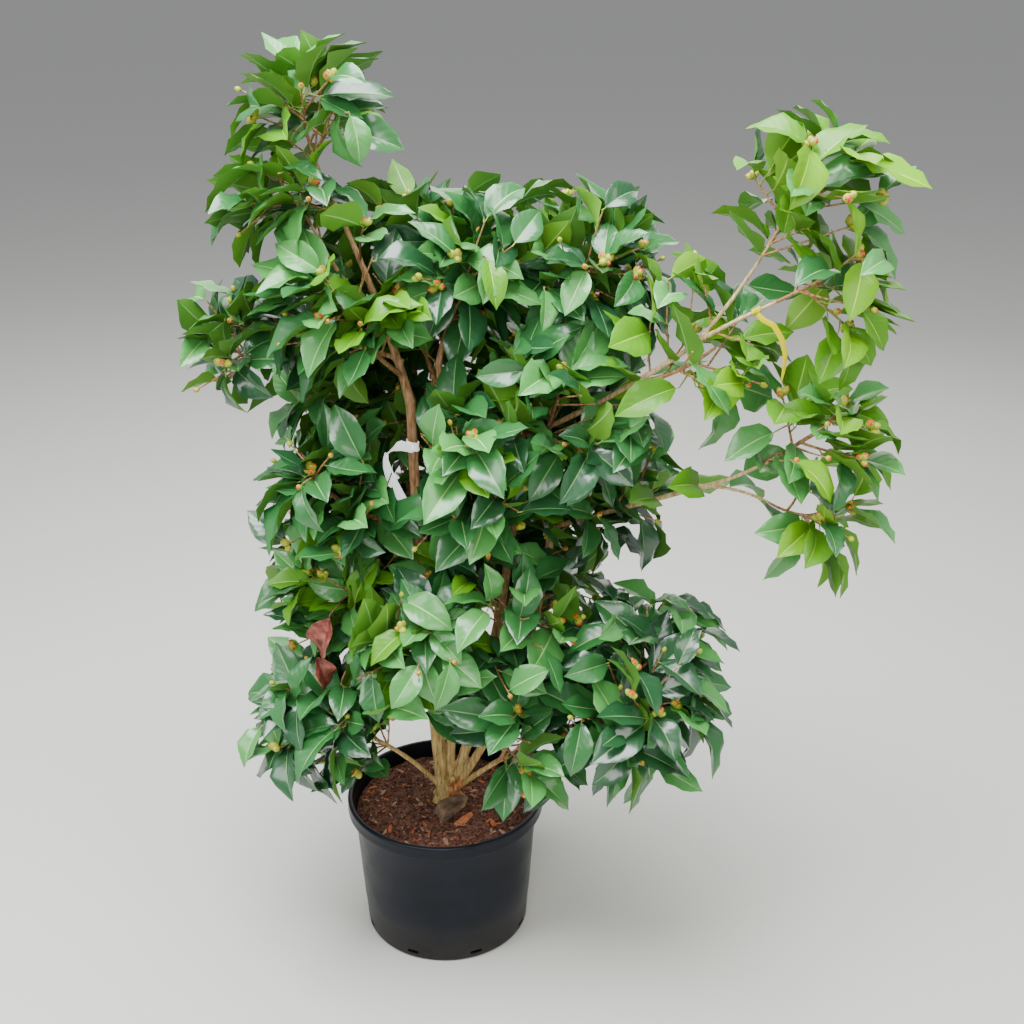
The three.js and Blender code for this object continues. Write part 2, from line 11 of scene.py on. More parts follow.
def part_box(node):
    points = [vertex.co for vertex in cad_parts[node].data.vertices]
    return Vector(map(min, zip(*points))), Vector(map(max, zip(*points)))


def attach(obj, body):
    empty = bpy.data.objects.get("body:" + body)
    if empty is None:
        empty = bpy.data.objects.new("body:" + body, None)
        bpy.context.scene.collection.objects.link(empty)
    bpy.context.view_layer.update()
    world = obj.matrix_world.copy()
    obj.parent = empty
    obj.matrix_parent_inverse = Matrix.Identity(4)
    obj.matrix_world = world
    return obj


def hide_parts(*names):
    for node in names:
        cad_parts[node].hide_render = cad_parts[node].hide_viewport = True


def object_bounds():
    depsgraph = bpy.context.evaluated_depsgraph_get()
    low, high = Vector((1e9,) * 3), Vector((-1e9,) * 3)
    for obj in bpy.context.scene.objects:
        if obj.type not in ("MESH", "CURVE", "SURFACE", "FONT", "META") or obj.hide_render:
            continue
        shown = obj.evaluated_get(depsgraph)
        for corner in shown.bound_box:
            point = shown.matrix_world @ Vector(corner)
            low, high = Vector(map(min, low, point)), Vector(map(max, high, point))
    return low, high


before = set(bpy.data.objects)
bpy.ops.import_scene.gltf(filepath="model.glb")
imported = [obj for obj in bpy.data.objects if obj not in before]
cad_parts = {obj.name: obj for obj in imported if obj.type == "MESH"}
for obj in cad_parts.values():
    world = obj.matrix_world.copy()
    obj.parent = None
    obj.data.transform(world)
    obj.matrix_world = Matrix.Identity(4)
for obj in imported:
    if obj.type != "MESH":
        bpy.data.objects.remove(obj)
cadBox = [list(corner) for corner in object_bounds()]
print("stage 1: frame loaded,", len(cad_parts), "CAD nodes")

# A camellia shrub in a nursery pot. The plant grows in millimetres, by the rule of the CAD
# source, and each mesh is made in metres. Bearings are degrees from +X towards +Y.
mm = 0.001
upward = np.array([0.0, 0.0, 1.0])
goldenAngle = 137.5


# small helpers for materials

def linear(hexText):  # an sRGB hex colour as the linear colour that a socket holds
    parts = [int(hexText[i:i + 2], 16) / 255 for i in (1, 3, 5)]
    return tuple(p / 12.92 if p <= 0.04045 else ((p + 0.055) / 1.055) ** 2.4 for p in parts) + (1.0,)


def addNode(tree, kind, settings=(), links=(), into=None):
    # links say what feeds each input, and the node's first output goes into the socket given last
    node = tree.nodes.new(kind)
    for name, value in dict(settings).items():
        if name == "stops":  # the places of a ramp's points with their colours or greys
            points = node.color_ramp.elements
            while len(points) < len(value):
                points.new(0.5)
            for point, (place, colour) in zip(points, value):
                point.position = place
                point.color = linear(colour) if isinstance(colour, str) else (colour, colour, colour, 1)
        elif isinstance(name, int) or name in node.inputs:
            node.inputs[name].default_value = value
        else:
            setattr(node, name, value)
    for socket, source in dict(links).items():
        tree.links.new(source, node.inputs[socket])
    if into:
        tree.links.new(node.outputs[0], into)
    return node.outputs


def newMaterial(name, colour, roughness, settings=()):
    material = bpy.data.materials.new(name)
    material.use_nodes = True
    shader = material.node_tree.nodes["Principled BSDF"]
    shader.inputs["Base Color"].default_value = linear(colour)
    shader.inputs["Roughness"].default_value = roughness
    for socket, value in dict(settings).items():
        shader.inputs[socket].default_value = value
    return material, material.node_tree, shader.inputs


# materials, with each pattern's size in millimetres

def makePotPlastic():
    # blow-moulded black polyethylene: near black with a soft satin sheen, faint dust and splashes. The slight
    # blue in its base colours is a painted reflection, standing in for the sheen's bluish look
    grain, dustPatch, splashHeight = 3.5, 60, 90
    material, tree, surface = newMaterial("moulded_polyethylene", "#0d1119", 0.36,
                                          {"IOR": 1.5, "Specular IOR Level": 0.17})
    place = addNode(tree, "ShaderNodeTexCoord")["Object"]
    dust = addNode(tree, "ShaderNodeTexNoise", {"Scale": 1 / (dustPatch * mm), "Detail": 6,
                                                "Roughness": 0.65}, {"Vector": place})[0]
    height = addNode(tree, "ShaderNodeSeparateXYZ", links={0: place})["Z"]
    low = addNode(tree, "ShaderNodeMapRange", {1: 0.0, 2: splashHeight * mm, 3: 0.9, 4: 0.0}, {0: height})[0]
    wet = addNode(tree, "ShaderNodeMath", {"operation": "MULTIPLY"}, {0: dust, 1: low})[0]
    patch = addNode(tree, "ShaderNodeValToRGB", {
        "stops": [(0.35, "#0a0d14"), (0.62, "#0f131c"), (0.8, "#191e28")]}, {0: dust})[0]
    mixed = addNode(tree, "ShaderNodeMix", {"data_type": "RGBA", 7: linear("#3a342c")}, {0: wet, 6: patch})[2]
    tree.links.new(mixed, surface["Base Color"])
    addNode(tree, "ShaderNodeValToRGB", {"stops": [(0.3, 0.27), (0.7, 0.46)]}, {0: dust},
            surface["Roughness"])
    fine = addNode(tree, "ShaderNodeTexNoise", {"Scale": 1 / (grain * mm), "Detail": 3}, {"Vector": place})[0]
    addNode(tree, "ShaderNodeBump", {"Strength": 0.12, "Distance": 0.3 * mm}, {"Height": fine},
            surface["Normal"])
    return material


def makePottingMix(name, dark, middle, light, lump=3):
    # composted bark and peat: matt, coarse and reddish brown. One pattern gives both the relief and the
    # colour, so the hollows are black, in part dark peat and in part painted shade
    material, tree, surface = newMaterial(name, middle, 0.93, {"Specular IOR Level": 0.25})
    place = addNode(tree, "ShaderNodeTexCoord")["Object"]
    cells = addNode(tree, "ShaderNodeTexVoronoi", {"Scale": 1 / (lump * mm)}, {"Vector": place})["Distance"]
    cloud = addNode(tree, "ShaderNodeTexNoise", {"Scale": 1 / (2.2 * lump * mm), "Detail": 8,
                                                 "Roughness": 0.7}, {"Vector": place})[0]
    mixed = addNode(tree, "ShaderNodeMath", {"operation": "MULTIPLY_ADD", 1: 0.35}, {0: cells, 2: cloud})[0]
    # dark where the relief is low: painted shade in the hollows, with some dark peat
    addNode(tree, "ShaderNodeValToRGB", {"stops": [(0.32, dark), (0.55, middle), (0.8, light)]}, {0: mixed},
            surface["Base Color"])
    addNode(tree, "ShaderNodeBump", {"Strength": 0.8, "Distance": 2 * mm}, {"Height": mixed},
            surface["Normal"])
    return material


def makeBark():
    # young camellia bark: thin, smooth and matt, pale ochre low down, warmer brown above and
    # light tan on the young boughs at the right, with fine lengthwise cracks and grey-green patches
    streak, patch, paleUpTo, brownFrom, tanFrom, tanFull = 4.5, 26, 420, 900, 170, 300
    material, tree, surface = newMaterial("camellia_bark", "#a8834f", 0.78, {"Specular IOR Level": 0.35})
    place = addNode(tree, "ShaderNodeTexCoord")["Object"]
    drawn = addNode(tree, "ShaderNodeMapping", {"Scale": (1, 1, 0.16)}, {"Vector": place})[0]
    streaks = addNode(tree, "ShaderNodeTexNoise", {"Scale": 1 / (streak * mm), "Detail": 5,
                                                   "Roughness": 0.6}, {"Vector": drawn})[0]
    clouds = addNode(tree, "ShaderNodeTexNoise", {"Scale": 1 / (patch * mm), "Detail": 4},
                     {"Vector": place})[0]
    pale, brown, tan = (addNode(tree, "ShaderNodeValToRGB", {"stops": stops}, {0: streaks})[0] for stops in (
        [(0.32, "#7f6538"), (0.5, "#bd9d62"), (0.7, "#dcc28c")],
        [(0.34, "#8a5f3a"), (0.52, "#c4966a"), (0.7, "#dfbb90")],
        [(0.32, "#977b50"), (0.52, "#c6ab7c"), (0.7, "#e0cda6")]))
    parts = addNode(tree, "ShaderNodeSeparateXYZ", links={0: place})
    above = addNode(tree, "ShaderNodeMapRange", {1: paleUpTo * mm, 2: brownFrom * mm}, {0: parts["Z"]})[0]
    beside = addNode(tree, "ShaderNodeMapRange", {1: tanFrom * mm, 2: tanFull * mm}, {0: parts["X"]})[0]
    moss = addNode(tree, "ShaderNodeValToRGB", {"stops": [(0.58, 0.0), (0.76, 0.4)]}, {0: clouds})[0]
    blend = {"data_type": "RGBA"}
    upright = addNode(tree, "ShaderNodeMix", blend, {0: above, 6: pale, 7: brown})[2]
    bark = addNode(tree, "ShaderNodeMix", blend, {0: beside, 6: upright, 7: tan})[2]
    tinted = addNode(tree, "ShaderNodeMix", {**blend, 7: linear("#7d7a55")}, {0: moss, 6: bark})[2]
    tree.links.new(tinted, surface["Base Color"])
    addNode(tree, "ShaderNodeBump", {"Strength": 0.45, "Distance": 1.0 * mm}, {"Height": streaks},
            surface["Normal"])
    return material


def makeTornWood():
    # bare wood where the bark is torn off at the foot: dry, fibrous and orange brown
    fibre = 3
    material, tree, surface = newMaterial("torn_wood", "#c8854e", 0.8, {"Specular IOR Level": 0.3})
    place = addNode(tree, "ShaderNodeTexCoord")["Object"]
    drawn = addNode(tree, "ShaderNodeMapping", {"Scale": (1, 1, 0.2)}, {"Vector": place})[0]
    fibres = addNode(tree, "ShaderNodeTexNoise", {"Scale": 1 / (fibre * mm), "Detail": 5},
                     {"Vector": drawn})[0]
    addNode(tree, "ShaderNodeValToRGB", {"stops": [(0.34, "#95552c"), (0.52, "#c8854e"), (0.7, "#e4b07c")]},
            {0: fibres}, surface["Base Color"])
    addNode(tree, "ShaderNodeBump", {"Strength": 0.7, "Distance": 1 * mm}, {"Height": fibres},
            surface["Normal"])
    return material


def makeTwigBark(name, dark, light):
    # thin young bark of twigs: smooth with a faint sheen and lengthwise flecks
    fleck = 5
    material, tree, surface = newMaterial(name, light, 0.6, {"Specular IOR Level": 0.4})
    place = addNode(tree, "ShaderNodeTexCoord")["Object"]
    flecks = addNode(tree, "ShaderNodeTexNoise", {"Scale": 1 / (fleck * mm), "Detail": 4},
                     {"Vector": place})[0]
    addNode(tree, "ShaderNodeValToRGB", {"stops": [(0.36, dark), (0.64, light)]}, {0: flecks},
            surface["Base Color"])
    return material


def makeLeafTop(name, colour, gloss):
    # thick waxy camellia leaf: a broad gloss, clear on old leaves and faint on young ones, and side
    # veins in faint relief
    veins, slope = 44, -0.55  # radians of the wave over a leaf's length, and how the veins slant
    material, tree, surface = newMaterial(name, colour, 0.44 - 0.26 * gloss,
                                          {"IOR": 1.48, "Specular IOR Level": 0.2 + 0.6 * gloss,
                                           "Coat Weight": gloss, "Coat Roughness": 0.15})
    place = addNode(tree, "ShaderNodeUVMap", {"uv_map": "leafMap"})[0]
    parts = addNode(tree, "ShaderNodeSeparateXYZ", links={0: place})
    centred = addNode(tree, "ShaderNodeMath", {"operation": "SUBTRACT", 1: 0.5}, {0: parts["Y"]})[0]
    across = addNode(tree, "ShaderNodeMath", {"operation": "ABSOLUTE"}, {0: centred})[0]
    slant = addNode(tree, "ShaderNodeMath", {"operation": "MULTIPLY_ADD", 1: slope},
                    {0: across, 2: parts["X"]})[0]
    ribs = addNode(tree, "ShaderNodeMath", {"operation": "MULTIPLY", 1: veins}, {0: slant})[0]
    wave = addNode(tree, "ShaderNodeMath", {"operation": "SINE"}, {0: ribs})[0]
    addNode(tree, "ShaderNodeBump", {"Strength": 0.22, "Distance": 0.4 * mm, "invert": True},
            {"Height": wave}, surface["Normal"])
    return material


def makeWithered(name, dark, middle, light):
    # dead leaf tissue: dry and brown with a faint sheen and darker blotches
    blotchSize = 14
    material, tree, surface = newMaterial(name, middle, 0.45)
    place = addNode(tree, "ShaderNodeTexCoord")["Object"]
    blotch = addNode(tree, "ShaderNodeTexNoise", {"Scale": 1 / (blotchSize * mm), "Detail": 5},
                     {"Vector": place})[0]
    addNode(tree, "ShaderNodeValToRGB", {"stops": [(0.35, dark), (0.55, middle), (0.78, light)]},
            {0: blotch}, surface["Base Color"])
    addNode(tree, "ShaderNodeBump", {"Strength": 0.5, "Distance": 1 * mm}, {"Height": blotch},
            surface["Normal"])
    return material


def makeFilm(name, colour, sheen, glow):
    # soft polyethylene film: smooth and finely creased. It glows with an emission of its own colour, painted
    # light that stands in for light coming through the film
    creaseWidth = 9
    material, tree, surface = newMaterial(name, colour, 0.5, {
        "Specular IOR Level": sheen, "Emission Color": linear(colour), "Emission Strength": glow})
    place = addNode(tree, "ShaderNodeTexCoord")["Object"]
    crease = addNode(tree, "ShaderNodeTexNoise", {"Scale": 1 / (creaseWidth * mm), "Detail": 2},
                     {"Vector": place})[0]
    addNode(tree, "ShaderNodeBump", {"Strength": 0.3, "Distance": 0.8 * mm}, {"Height": crease},
            surface["Normal"])
    return material


def makePlainGreen(name, colour, roughness):
    # soft plant tissue in one colour: midribs, undersides, stalks and bud scales
    return newMaterial(name, colour, roughness, {"IOR": 1.45})[0]


# mesh helpers: one primitive at a time is worked on in edit mode

def newObject(name, data):
    piece = bpy.data.objects.new(name, data)
    bpy.context.scene.collection.objects.link(piece)
    return piece


def clearSelection():
    if bpy.context.mode != "OBJECT":
        bpy.ops.object.mode_set(mode="OBJECT")
    bpy.ops.object.select_all(action="DESELECT")


def only(piece):
    clearSelection()
    piece.select_set(True)
    bpy.context.view_layer.objects.active = piece


def addPrimitive(name, add, **sizes):
    clearSelection()
    add(**sizes)
    piece = bpy.context.object
    piece.name = piece.data.name = name
    return piece


def editAll(piece, *steps):  # each step works on the whole mesh in edit mode
    only(piece)
    bpy.ops.object.mode_set(mode="EDIT")
    bpy.ops.mesh.select_all(action="SELECT")
    for step in steps:
        step()
    bpy.ops.object.mode_set(mode="OBJECT")


def applyModifier(piece, kind, **settings):
    modifier = piece.modifiers.new(kind.lower(), kind)
    for name, value in settings.items():
        setattr(modifier, name, value)
    only(piece)
    bpy.ops.object.modifier_apply(modifier=modifier.name)


def settle(piece):  # the piece's place goes into its mesh
    only(piece)
    bpy.ops.object.transform_apply(location=True, rotation=True, scale=True)


def joinPieces(pieces):
    only(pieces[0])
    for piece in pieces[1:]:
        piece.select_set(True)
    bpy.ops.object.join()
    return bpy.context.object


def smoothByAngle(piece, degrees):
    only(piece)
    bpy.ops.object.shade_smooth_by_angle(angle=math.radians(degrees))


def facesOutward(piece):
    editAll(piece, lambda: bpy.ops.mesh.normals_make_consistent(inside=False))


def extrudeUp(height):
    bpy.ops.mesh.extrude_region_move(TRANSFORM_OT_translate={"value": (0, 0, height)})


def turnedShape(name, profile, sides):
    # a round solid drawn up from its foot: each (radius, height) is one more extrusion of the top face
    piece = addPrimitive(name, bpy.ops.mesh.primitive_circle_add, vertices=sides, radius=profile[0][0],
                         fill_type="NGON", location=(0, 0, profile[0][1]))
    settle(piece)

    def drawUp():
        for (radius, height), (nextRadius, nextHeight) in zip(profile, profile[1:]):
            extrudeUp(nextHeight - height)
            share = nextRadius / radius
            bpy.ops.transform.resize(value=(share, share, 1), center_override=(0, 0, nextHeight))
    editAll(piece, drawUp)
    facesOutward(piece)
    return piece


def handOver(piece, nodes):
    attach(piece, "root")
    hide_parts(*nodes)


def paint(piece, *materials):
    piece.data.materials.clear()
    for material in materials:
        piece.data.materials.append(material)


def moveVertices(piece, place):  # place takes a vertex's position and normal and gives its new position
    mesh = piece.data
    normals = [v.normal.copy() for v in mesh.vertices]
    for vertex, normal in zip(mesh.vertices, normals):
        vertex.co = place(vertex.co.copy(), normal)
    mesh.update()


# meshes of many small things, gathered as arrays and made in one go

def newStore():
    return {"vertices": [], "faces": [], "marks": [], "map": [], "count": 0}


def addShape(store, vertices, faces, marks=None, leafMap=None):
    start = store["count"]
    store["vertices"].append(vertices)
    store["faces"].extend([[start + i for i in face] for face in faces])
    store["marks"].extend(marks if marks is not None else [0] * len(faces))
    store["map"].append(leafMap if leafMap is not None else np.zeros((len(vertices), 2)))
    store["count"] += len(vertices)


def storePiece(name, store, materials, smoothAngle, slot=None, nodes=(), withMap=False):
    mesh = bpy.data.meshes.new(name)
    mesh.from_pydata((np.concatenate(store["vertices"]) * mm).tolist(), [], store["faces"])
    if withMap:
        layer = mesh.uv_layers.new(name="leafMap")
        corner = np.zeros(len(mesh.loops), int)
        mesh.loops.foreach_get("vertex_index", corner)
        layer.data.foreach_set("uv", np.concatenate(store["map"])[corner].ravel())
    piece = newObject(name, mesh)
    paint(piece, *materials)
    mesh.polygons.foreach_set("material_index", store["marks"])
    smoothByAngle(piece, smoothAngle)
    if slot:
        handOver(piece, nodes)
    return piece


def addTube(store, points, radii, sides, mark=0):
    points = np.array(points, float)
    tangents = np.gradient(points, axis=0)
    tangents /= np.linalg.norm(tangents, axis=1)[:, None]
    angles = 2 * math.pi * np.arange(sides) / sides
    side = np.cross(tangents[0], [0.37, 0.61, 0.7])
    rings = []
    for place, tangent, radius in zip(points, tangents, radii):
        side = unit(side - tangent * side.dot(tangent))
        other = np.cross(tangent, side)
        rings.append(place + radius * (np.outer(np.cos(angles), side) + np.outer(np.sin(angles), other)))
    faces = []
    for k in range(len(rings) - 1):
        low, high = k * sides, (k + 1) * sides
        for i in range(sides):
            j = (i + 1) % sides
            faces.append([low + i, low + j, high + j, high + i])
    faces.append(list(range(sides))[::-1])
    faces.append([(len(rings) - 1) * sides + i for i in range(sides)])
    addShape(store, np.concatenate(rings), faces, [mark] * len(faces))


# the growth rule of the CAD source, with the same named sizes, in millimetres

def unit(v):
    return v / math.sqrt(v.dot(v))


def heading(bearing, rise):
    turn, lift = math.radians(bearing), math.radians(rise)
    return np.array([math.cos(turn) * math.cos(lift), math.sin(turn) * math.cos(lift), math.sin(lift)])


def turned(v, axis, angle):
    cosine, sine = math.cos(angle), math.sin(angle)
    return v * cosine + np.cross(axis, v) * sine + axis * axis.dot(v) * (1 - cosine)


class Bend:
    # an even bend that leaves start along one heading and ends along another
    pieces = 200

    def __init__(self, start, first, last, length):
        self.start, self.middle = start, start + first * length / 2
        self.end = self.middle + last * length / 2
        places = np.array([self.place(i / self.pieces) for i in range(self.pieces + 1)])
        steps = np.linalg.norm(np.diff(places, axis=0), axis=1)
        self.lengths = [0.0] + list(np.cumsum(steps))

    def place(self, t):
        return (1 - t) ** 2 * self.start + 2 * t * (1 - t) * self.middle + t * t * self.end

    def stage(self, share):
        target = share * self.lengths[-1]
        i = min(max(bisect.bisect_right(self.lengths, target) - 1, 0), self.pieces - 1)
        return (i + (target - self.lengths[i]) / (self.lengths[i + 1] - self.lengths[i])) / self.pieces

    def at(self, share):
        return self.place(self.stage(share))

    def tangent(self, share):
        t = self.stage(share)
        return unit(self.place(min(t + 1e-4, 1)) - self.place(max(t - 1e-4, 0)))


# the clump's foot, its cut stub, the gap between the source's solids and the mix's level
foot = dict(x=3, y=14, height=44, flare=30, waist=19, top=22, lobes=5, lobeDepth=0.13)
stub = dict(at=0.55, inset=6, bearing=-72, rise=54, length=44, thick=8, thin=6.8)
gap = 0.3
mixLevel = 245


def limbRow(on, at, inset, bearing, rise, length, endBearing, endRise, thick, thin):
    return dict(on=on, at=at, inset=inset, bearing=bearing, rise=rise, length=length,
                endBearing=endBearing, endRise=endRise, thick=thick, thin=thin)


# parent, place along it, inset, bearing and rise, length, end bearing and rise, thick and thin end
limbSizes = {
    "stem_leader": limbRow("trunk", 0.5, 9, 186, 85, 752, 130, 88.5, 11.5, 8.5),
    "stem_leader_upper": limbRow("stem_leader", 1, 0, 182, 76, 380, 179, 66, 8.2, 3.4),
    "bough_crown_left": limbRow("stem_leader_upper", 0.3, 0, 190, 50, 222, 186, 66, 4.6, 2.8),
    "bough_arm_left": limbRow("stem_leader_upper", 0.2, 0, 178, 24, 228, 187, -18, 4.2, 2.8),
    "stem_middle": limbRow("trunk", 0.6, 5, 50, 85, 805, 190, 86, 9.5, 6),
    "stem_middle_upper": limbRow("stem_middle", 1, 0, 20, 80, 105, -25, 62, 5.8, 3.6),
    "stem_right": limbRow("trunk", 0.52, 9, -5, 72, 535, -6, 84, 10, 7.5),
    "stem_right_upper": limbRow("stem_right", 1, 0, 10, 86, 380, 3, 72, 7.2, 3.4),
    "stem_side": limbRow("trunk", 0.3, 8, -15, 58, 625, 45, 84, 8.5, 5.5),
    "stem_back": limbRow("trunk", 0.5, 8, 110, 72, 545, 125, 78, 9, 5),
    "bough_upper_right": limbRow("stem_right_upper", 0.46, 0, -38, 29, 400, -34, 40, 5.4, 4),
    "bough_upper_right_tip": limbRow("bough_upper_right", 1, 0, -22, 34, 115, -10, 28, 3.8, 3),
    "bough_upper_right_fork": limbRow("bough_upper_right", 0.94, 0, -12, 52, 182, -2, 62, 3.6, 2.6),
    "bough_lower_right": limbRow("stem_side", 0.95, 0, -26, 25, 325, -36, 26, 4.9, 4),
    "bough_lower_right_tip": limbRow("bough_lower_right", 1, 0, -28, 28, 112, -22, 38, 3.6, 2.6),
    "bough_lower_right_fork": limbRow("bough_lower_right", 0.93, 0, -22, 8, 112, -8, -28, 3.4, 2.6),
    "bough_low_left": limbRow("trunk", 0.3, 6, 205, 58, 246, 210, 36, 5.2, 3.6),
    "bough_low_right": limbRow("trunk", 0.25, 7, -30, 48, 312, -22, 34, 5.8, 3.6),
}


def massRow(on, at, bearing, rise, reach, spread, tone):
    return dict(on=on, at=at, bearing=bearing, rise=rise, reach=reach, spread=spread, tone=tone)


# the last word of a mass says which mixture of leaf colours its sprays are dealt from. Beside the real spread
# of old and young leaves, the mixtures paint light: darker greens on the low masses and those at the back are
# painted shade, lighter greens on the top, front and left are painted light, and the yellow-green of the
# right-hand boughs is painted light shining through their leaves from behind
massSizes = {
    "foliage_crown_top": massRow("stem_leader_upper", 1, 185, 84, 92, 118, "fresh_and_lit"),
    "foliage_crown_left": massRow("bough_crown_left", 1, 200, 30, 34, 104, "mixed"),
    "foliage_arm_left": massRow("bough_arm_left", 1, 180, 16, 42, 98, "deep_and_shaded"),
    "foliage_crown_front": massRow("stem_leader_upper", 0.12, 231, 50, 160, 130, "fresh_and_lit"),
    "foliage_crown_middle": massRow("stem_middle_upper", 1, -66, 48, 74, 126, "mixed"),
    "foliage_crown_right": massRow("stem_right_upper", 1, -10, 62, 78, 130, "mixed"),
    "foliage_shoulder": massRow("stem_right_upper", 0.3, -65, 52, 174, 138, "mixed"),
    "foliage_side_right": massRow("stem_side", 1, 10, 40, 80, 120, "mixed"),
    "foliage_front_middle": massRow("stem_middle", 0.72, -79, 33, 188, 144, "mixed"),
    "foliage_front_left": massRow("stem_leader", 0.7, 217, 33, 160, 124, "mixed"),
    "foliage_side_left": massRow("stem_leader", 0.45, 200, 28, 158, 116, "fresh_and_lit"),
    "foliage_low_left": massRow("bough_low_left", 1, 190, 38, 66, 128, "deep_and_shaded"),
    "foliage_low_front": massRow("stem_leader", 0.3, -90, 47, 194, 134, "fresh_and_lit"),
    "foliage_front_right": massRow("stem_side", 0.62, -112, 32, 150, 122, "mixed"),
    "foliage_low_middle": massRow("bough_low_right", 0.45, -79, 51, 160, 124, "deep_and_shaded"),
    "foliage_low_right": massRow("bough_low_right", 1, -14, 40, 124, 160, "deep_and_shaded"),
    "foliage_upper_right_tip": massRow("bough_upper_right_tip", 1, -7, 14, 60, 110, "bright_and_backlit"),
    "foliage_upper_right_fork": massRow("bough_upper_right_fork", 1, -13, 42, 86, 116, "bright_and_backlit"),
    "foliage_upper_right_near": massRow("bough_upper_right", 0.62, -30, 30, 120, 116, "bright_and_backlit"),
    "foliage_lower_right_tip": massRow("bough_lower_right_tip", 1, -18, 24, 58, 108, "bright_and_backlit"),
    "foliage_lower_right_fork": massRow("bough_lower_right_fork", 1, -20, -10, 62, 104, "bright_and_backlit"),
    "foliage_back_crown": massRow("stem_middle", 0.92, 118, 60, 215, 150, "deep_and_shaded"),
    "foliage_back_left": massRow("stem_back", 1, 170, 60, 205, 156, "deep_and_shaded"),
    "foliage_back_right": massRow("stem_right_upper", 0.25, 76, 38, 188, 152, "deep_and_shaded"),
    "foliage_back_middle": massRow("stem_back", 0.9, 50, 48, 172, 146, "deep_and_shaded"),
    "foliage_back_low_left": massRow("stem_back", 0.45, 150, 42, 205, 150, "deep_and_shaded"),
    "foliage_back_low_right": massRow("stem_right", 0.6, 76, 28, 182, 152, "deep_and_shaded"),
}

massStem = dict(thick=4.8, thin=4.2, past=0.3, sag=14, turnUp=0.35, limit=1.32)
shootSize = dict(perSpread=0.0365, tries=24, start=0.34, end=0.9, turnPlay=160, tilt=58, tiltPlay=24,
                 length=0.6, lengthPlay=0.36, lift=0.3, apart=0.4, thick=2.2)
lastShoot = dict(at=0.97, tilt=8, length=0.48)
bladeSize = dict(length=118, width=68, drop=5, droop=0.13, widest=0.44, apart=8)
bladePose = dict(perShoot=5, tries=20, start=0.38, end=0.96, stray=0.12, turnPlay=240, tilt=76,
                 closing=22, tiltPlay=14, hang=0.3, hangPlay=0.3, scale=0.84, scalePlay=0.3)
facing = dict(up=0.7, outward=0.5, play=0.5)
smallerBlade = dict(after=10, scale=0.74)
budShare = 0.4
keepOff = 8
overRim = dict(radius=196, height=280, low=262)
strapSizes = {
    "plant_label": dict(on="stem_leader", at=0.9, width=14, drop=92, lean=14),
    "branch_tie": dict(on="bough_upper_right_tip", at=0.72, width=6, drop=74, lean=-22),
}


def makeDraw(seed):  # the source's repeatable draws between 0 and 1
    state = [(seed * 7919 + 17) & 0xFFFFFFFF]

    def draw():
        state[0] = (state[0] * 1664525 + 1013904223) & 0xFFFFFFFF
        return state[0] / 4294967296
    return draw


def placeLimbs():
    base = np.array([foot["x"], foot["y"], mixLevel + gap], float)
    limbs = {"trunk": dict(curve=Bend(base, upward, heading(20, 87), foot["height"]),
                           thick=foot["waist"], thin=foot["waist"], steps=4)}
    for name, size in limbSizes.items():
        first = heading(size["bearing"], size["rise"])
        start = limbs[size["on"]]["curve"].at(size["at"])
        start = start + heading(size["bearing"], 0) * size["inset"]
        if size["at"] == 1:
            start = start + first * gap
        curve = Bend(start, first, heading(size["endBearing"], size["endRise"]), size["length"])
        limbs[name] = dict(curve=curve, thick=size["thick"], thin=size["thin"],
                           steps=2 * max(2, round(size["length"] / 100)))
    return limbs


def placeMasses(limbs):
    masses = []
    for order, (name, size) in enumerate(massSizes.items()):
        limb = limbs[size["on"]]
        start, onTip = limb["curve"].at(size["at"]), size["at"] == 1
        aim = heading(size["bearing"], size["rise"])
        first = heading(size["bearing"], size["rise"] - massStem["sag"])
        if onTip:
            first = limb["curve"].tangent(1)
            start = start + first * gap
        last = unit(aim + upward * massStem["turnUp"])
        curve = Bend(start, first, last, size["reach"] * (1 + massStem["past"]))
        limbRadius = limb["thick"] + (limb["thin"] - limb["thick"]) * size["at"]
        masses.append(dict(name=name, curve=curve, middle=start + aim * size["reach"], steps=6,
                           spread=size["spread"], thick=min(massStem["thick"], limbRadius * 0.9),
                           thin=massStem["thin"], seed=order + 1, tone=size["tone"], onTip=onTip))
    return masses


class Surroundings:
    # what a shoot or blade has to keep clear of: limbs, mass stems, straps and the other spaces
    def __init__(self, limbs, masses):
        self.owners, starts, ends, radii = [], [], [], []
        for owner, limb in list(limbs.items()) + [(m["name"], m) for m in masses]:
            for i in range(limb["steps"]):
                self.owners.append(owner)
                starts.append(limb["curve"].at(i / limb["steps"]))
                ends.append(limb["curve"].at((i + 1) / limb["steps"]))
                radii.append(limb["thick"] + (limb["thin"] - limb["thick"]) * i / limb["steps"])
        for size in strapSizes.values():
            limb = limbs[size["on"]]
            top = limb["curve"].at(size["at"])
            top = top - np.array([0, limb["thick"] + (limb["thin"] - limb["thick"]) * size["at"], 0])
            self.owners.append(size["on"])
            starts.append(top)
            ends.append(top + size["drop"] * np.array([math.sin(math.radians(-size["lean"])), 0, -1]))
            radii.append(size["width"] / 2)
        self.starts, self.across = np.array(starts), np.array(ends) - np.array(starts)
        self.radii = np.array(radii)
        self.owners = np.array(self.owners)
        self.middles = np.array([m["middle"] for m in masses])
        self.spreads = np.array([m["spread"] for m in masses])

    def inSpace(self, point, order):
        offsets = point - self.middles
        squares = np.einsum("ij,ij->i", offsets, offsets)
        if squares[order] > (self.spreads[order] * massStem["limit"]) ** 2:
            return False
        overPot = math.hypot(point[0], point[1]) < overRim["radius"]
        if point[2] < (overRim["height"] if overPot else overRim["low"]):
            return False
        powers = squares - self.spreads ** 2
        margins = 2 * gap * np.linalg.norm(self.middles - self.middles[order], axis=1)
        ahead = powers[order] + margins < powers
        ahead[order] = True
        return bool(ahead.all())

    def isClear(self, lines, owner, room=keepOff):
        others = self.owners != owner
        starts, across, rooms = self.starts[others], self.across[others], self.radii[others] + room
        return all((lineDistances(a, b, starts, across) > rooms).all() for a, b in lines)


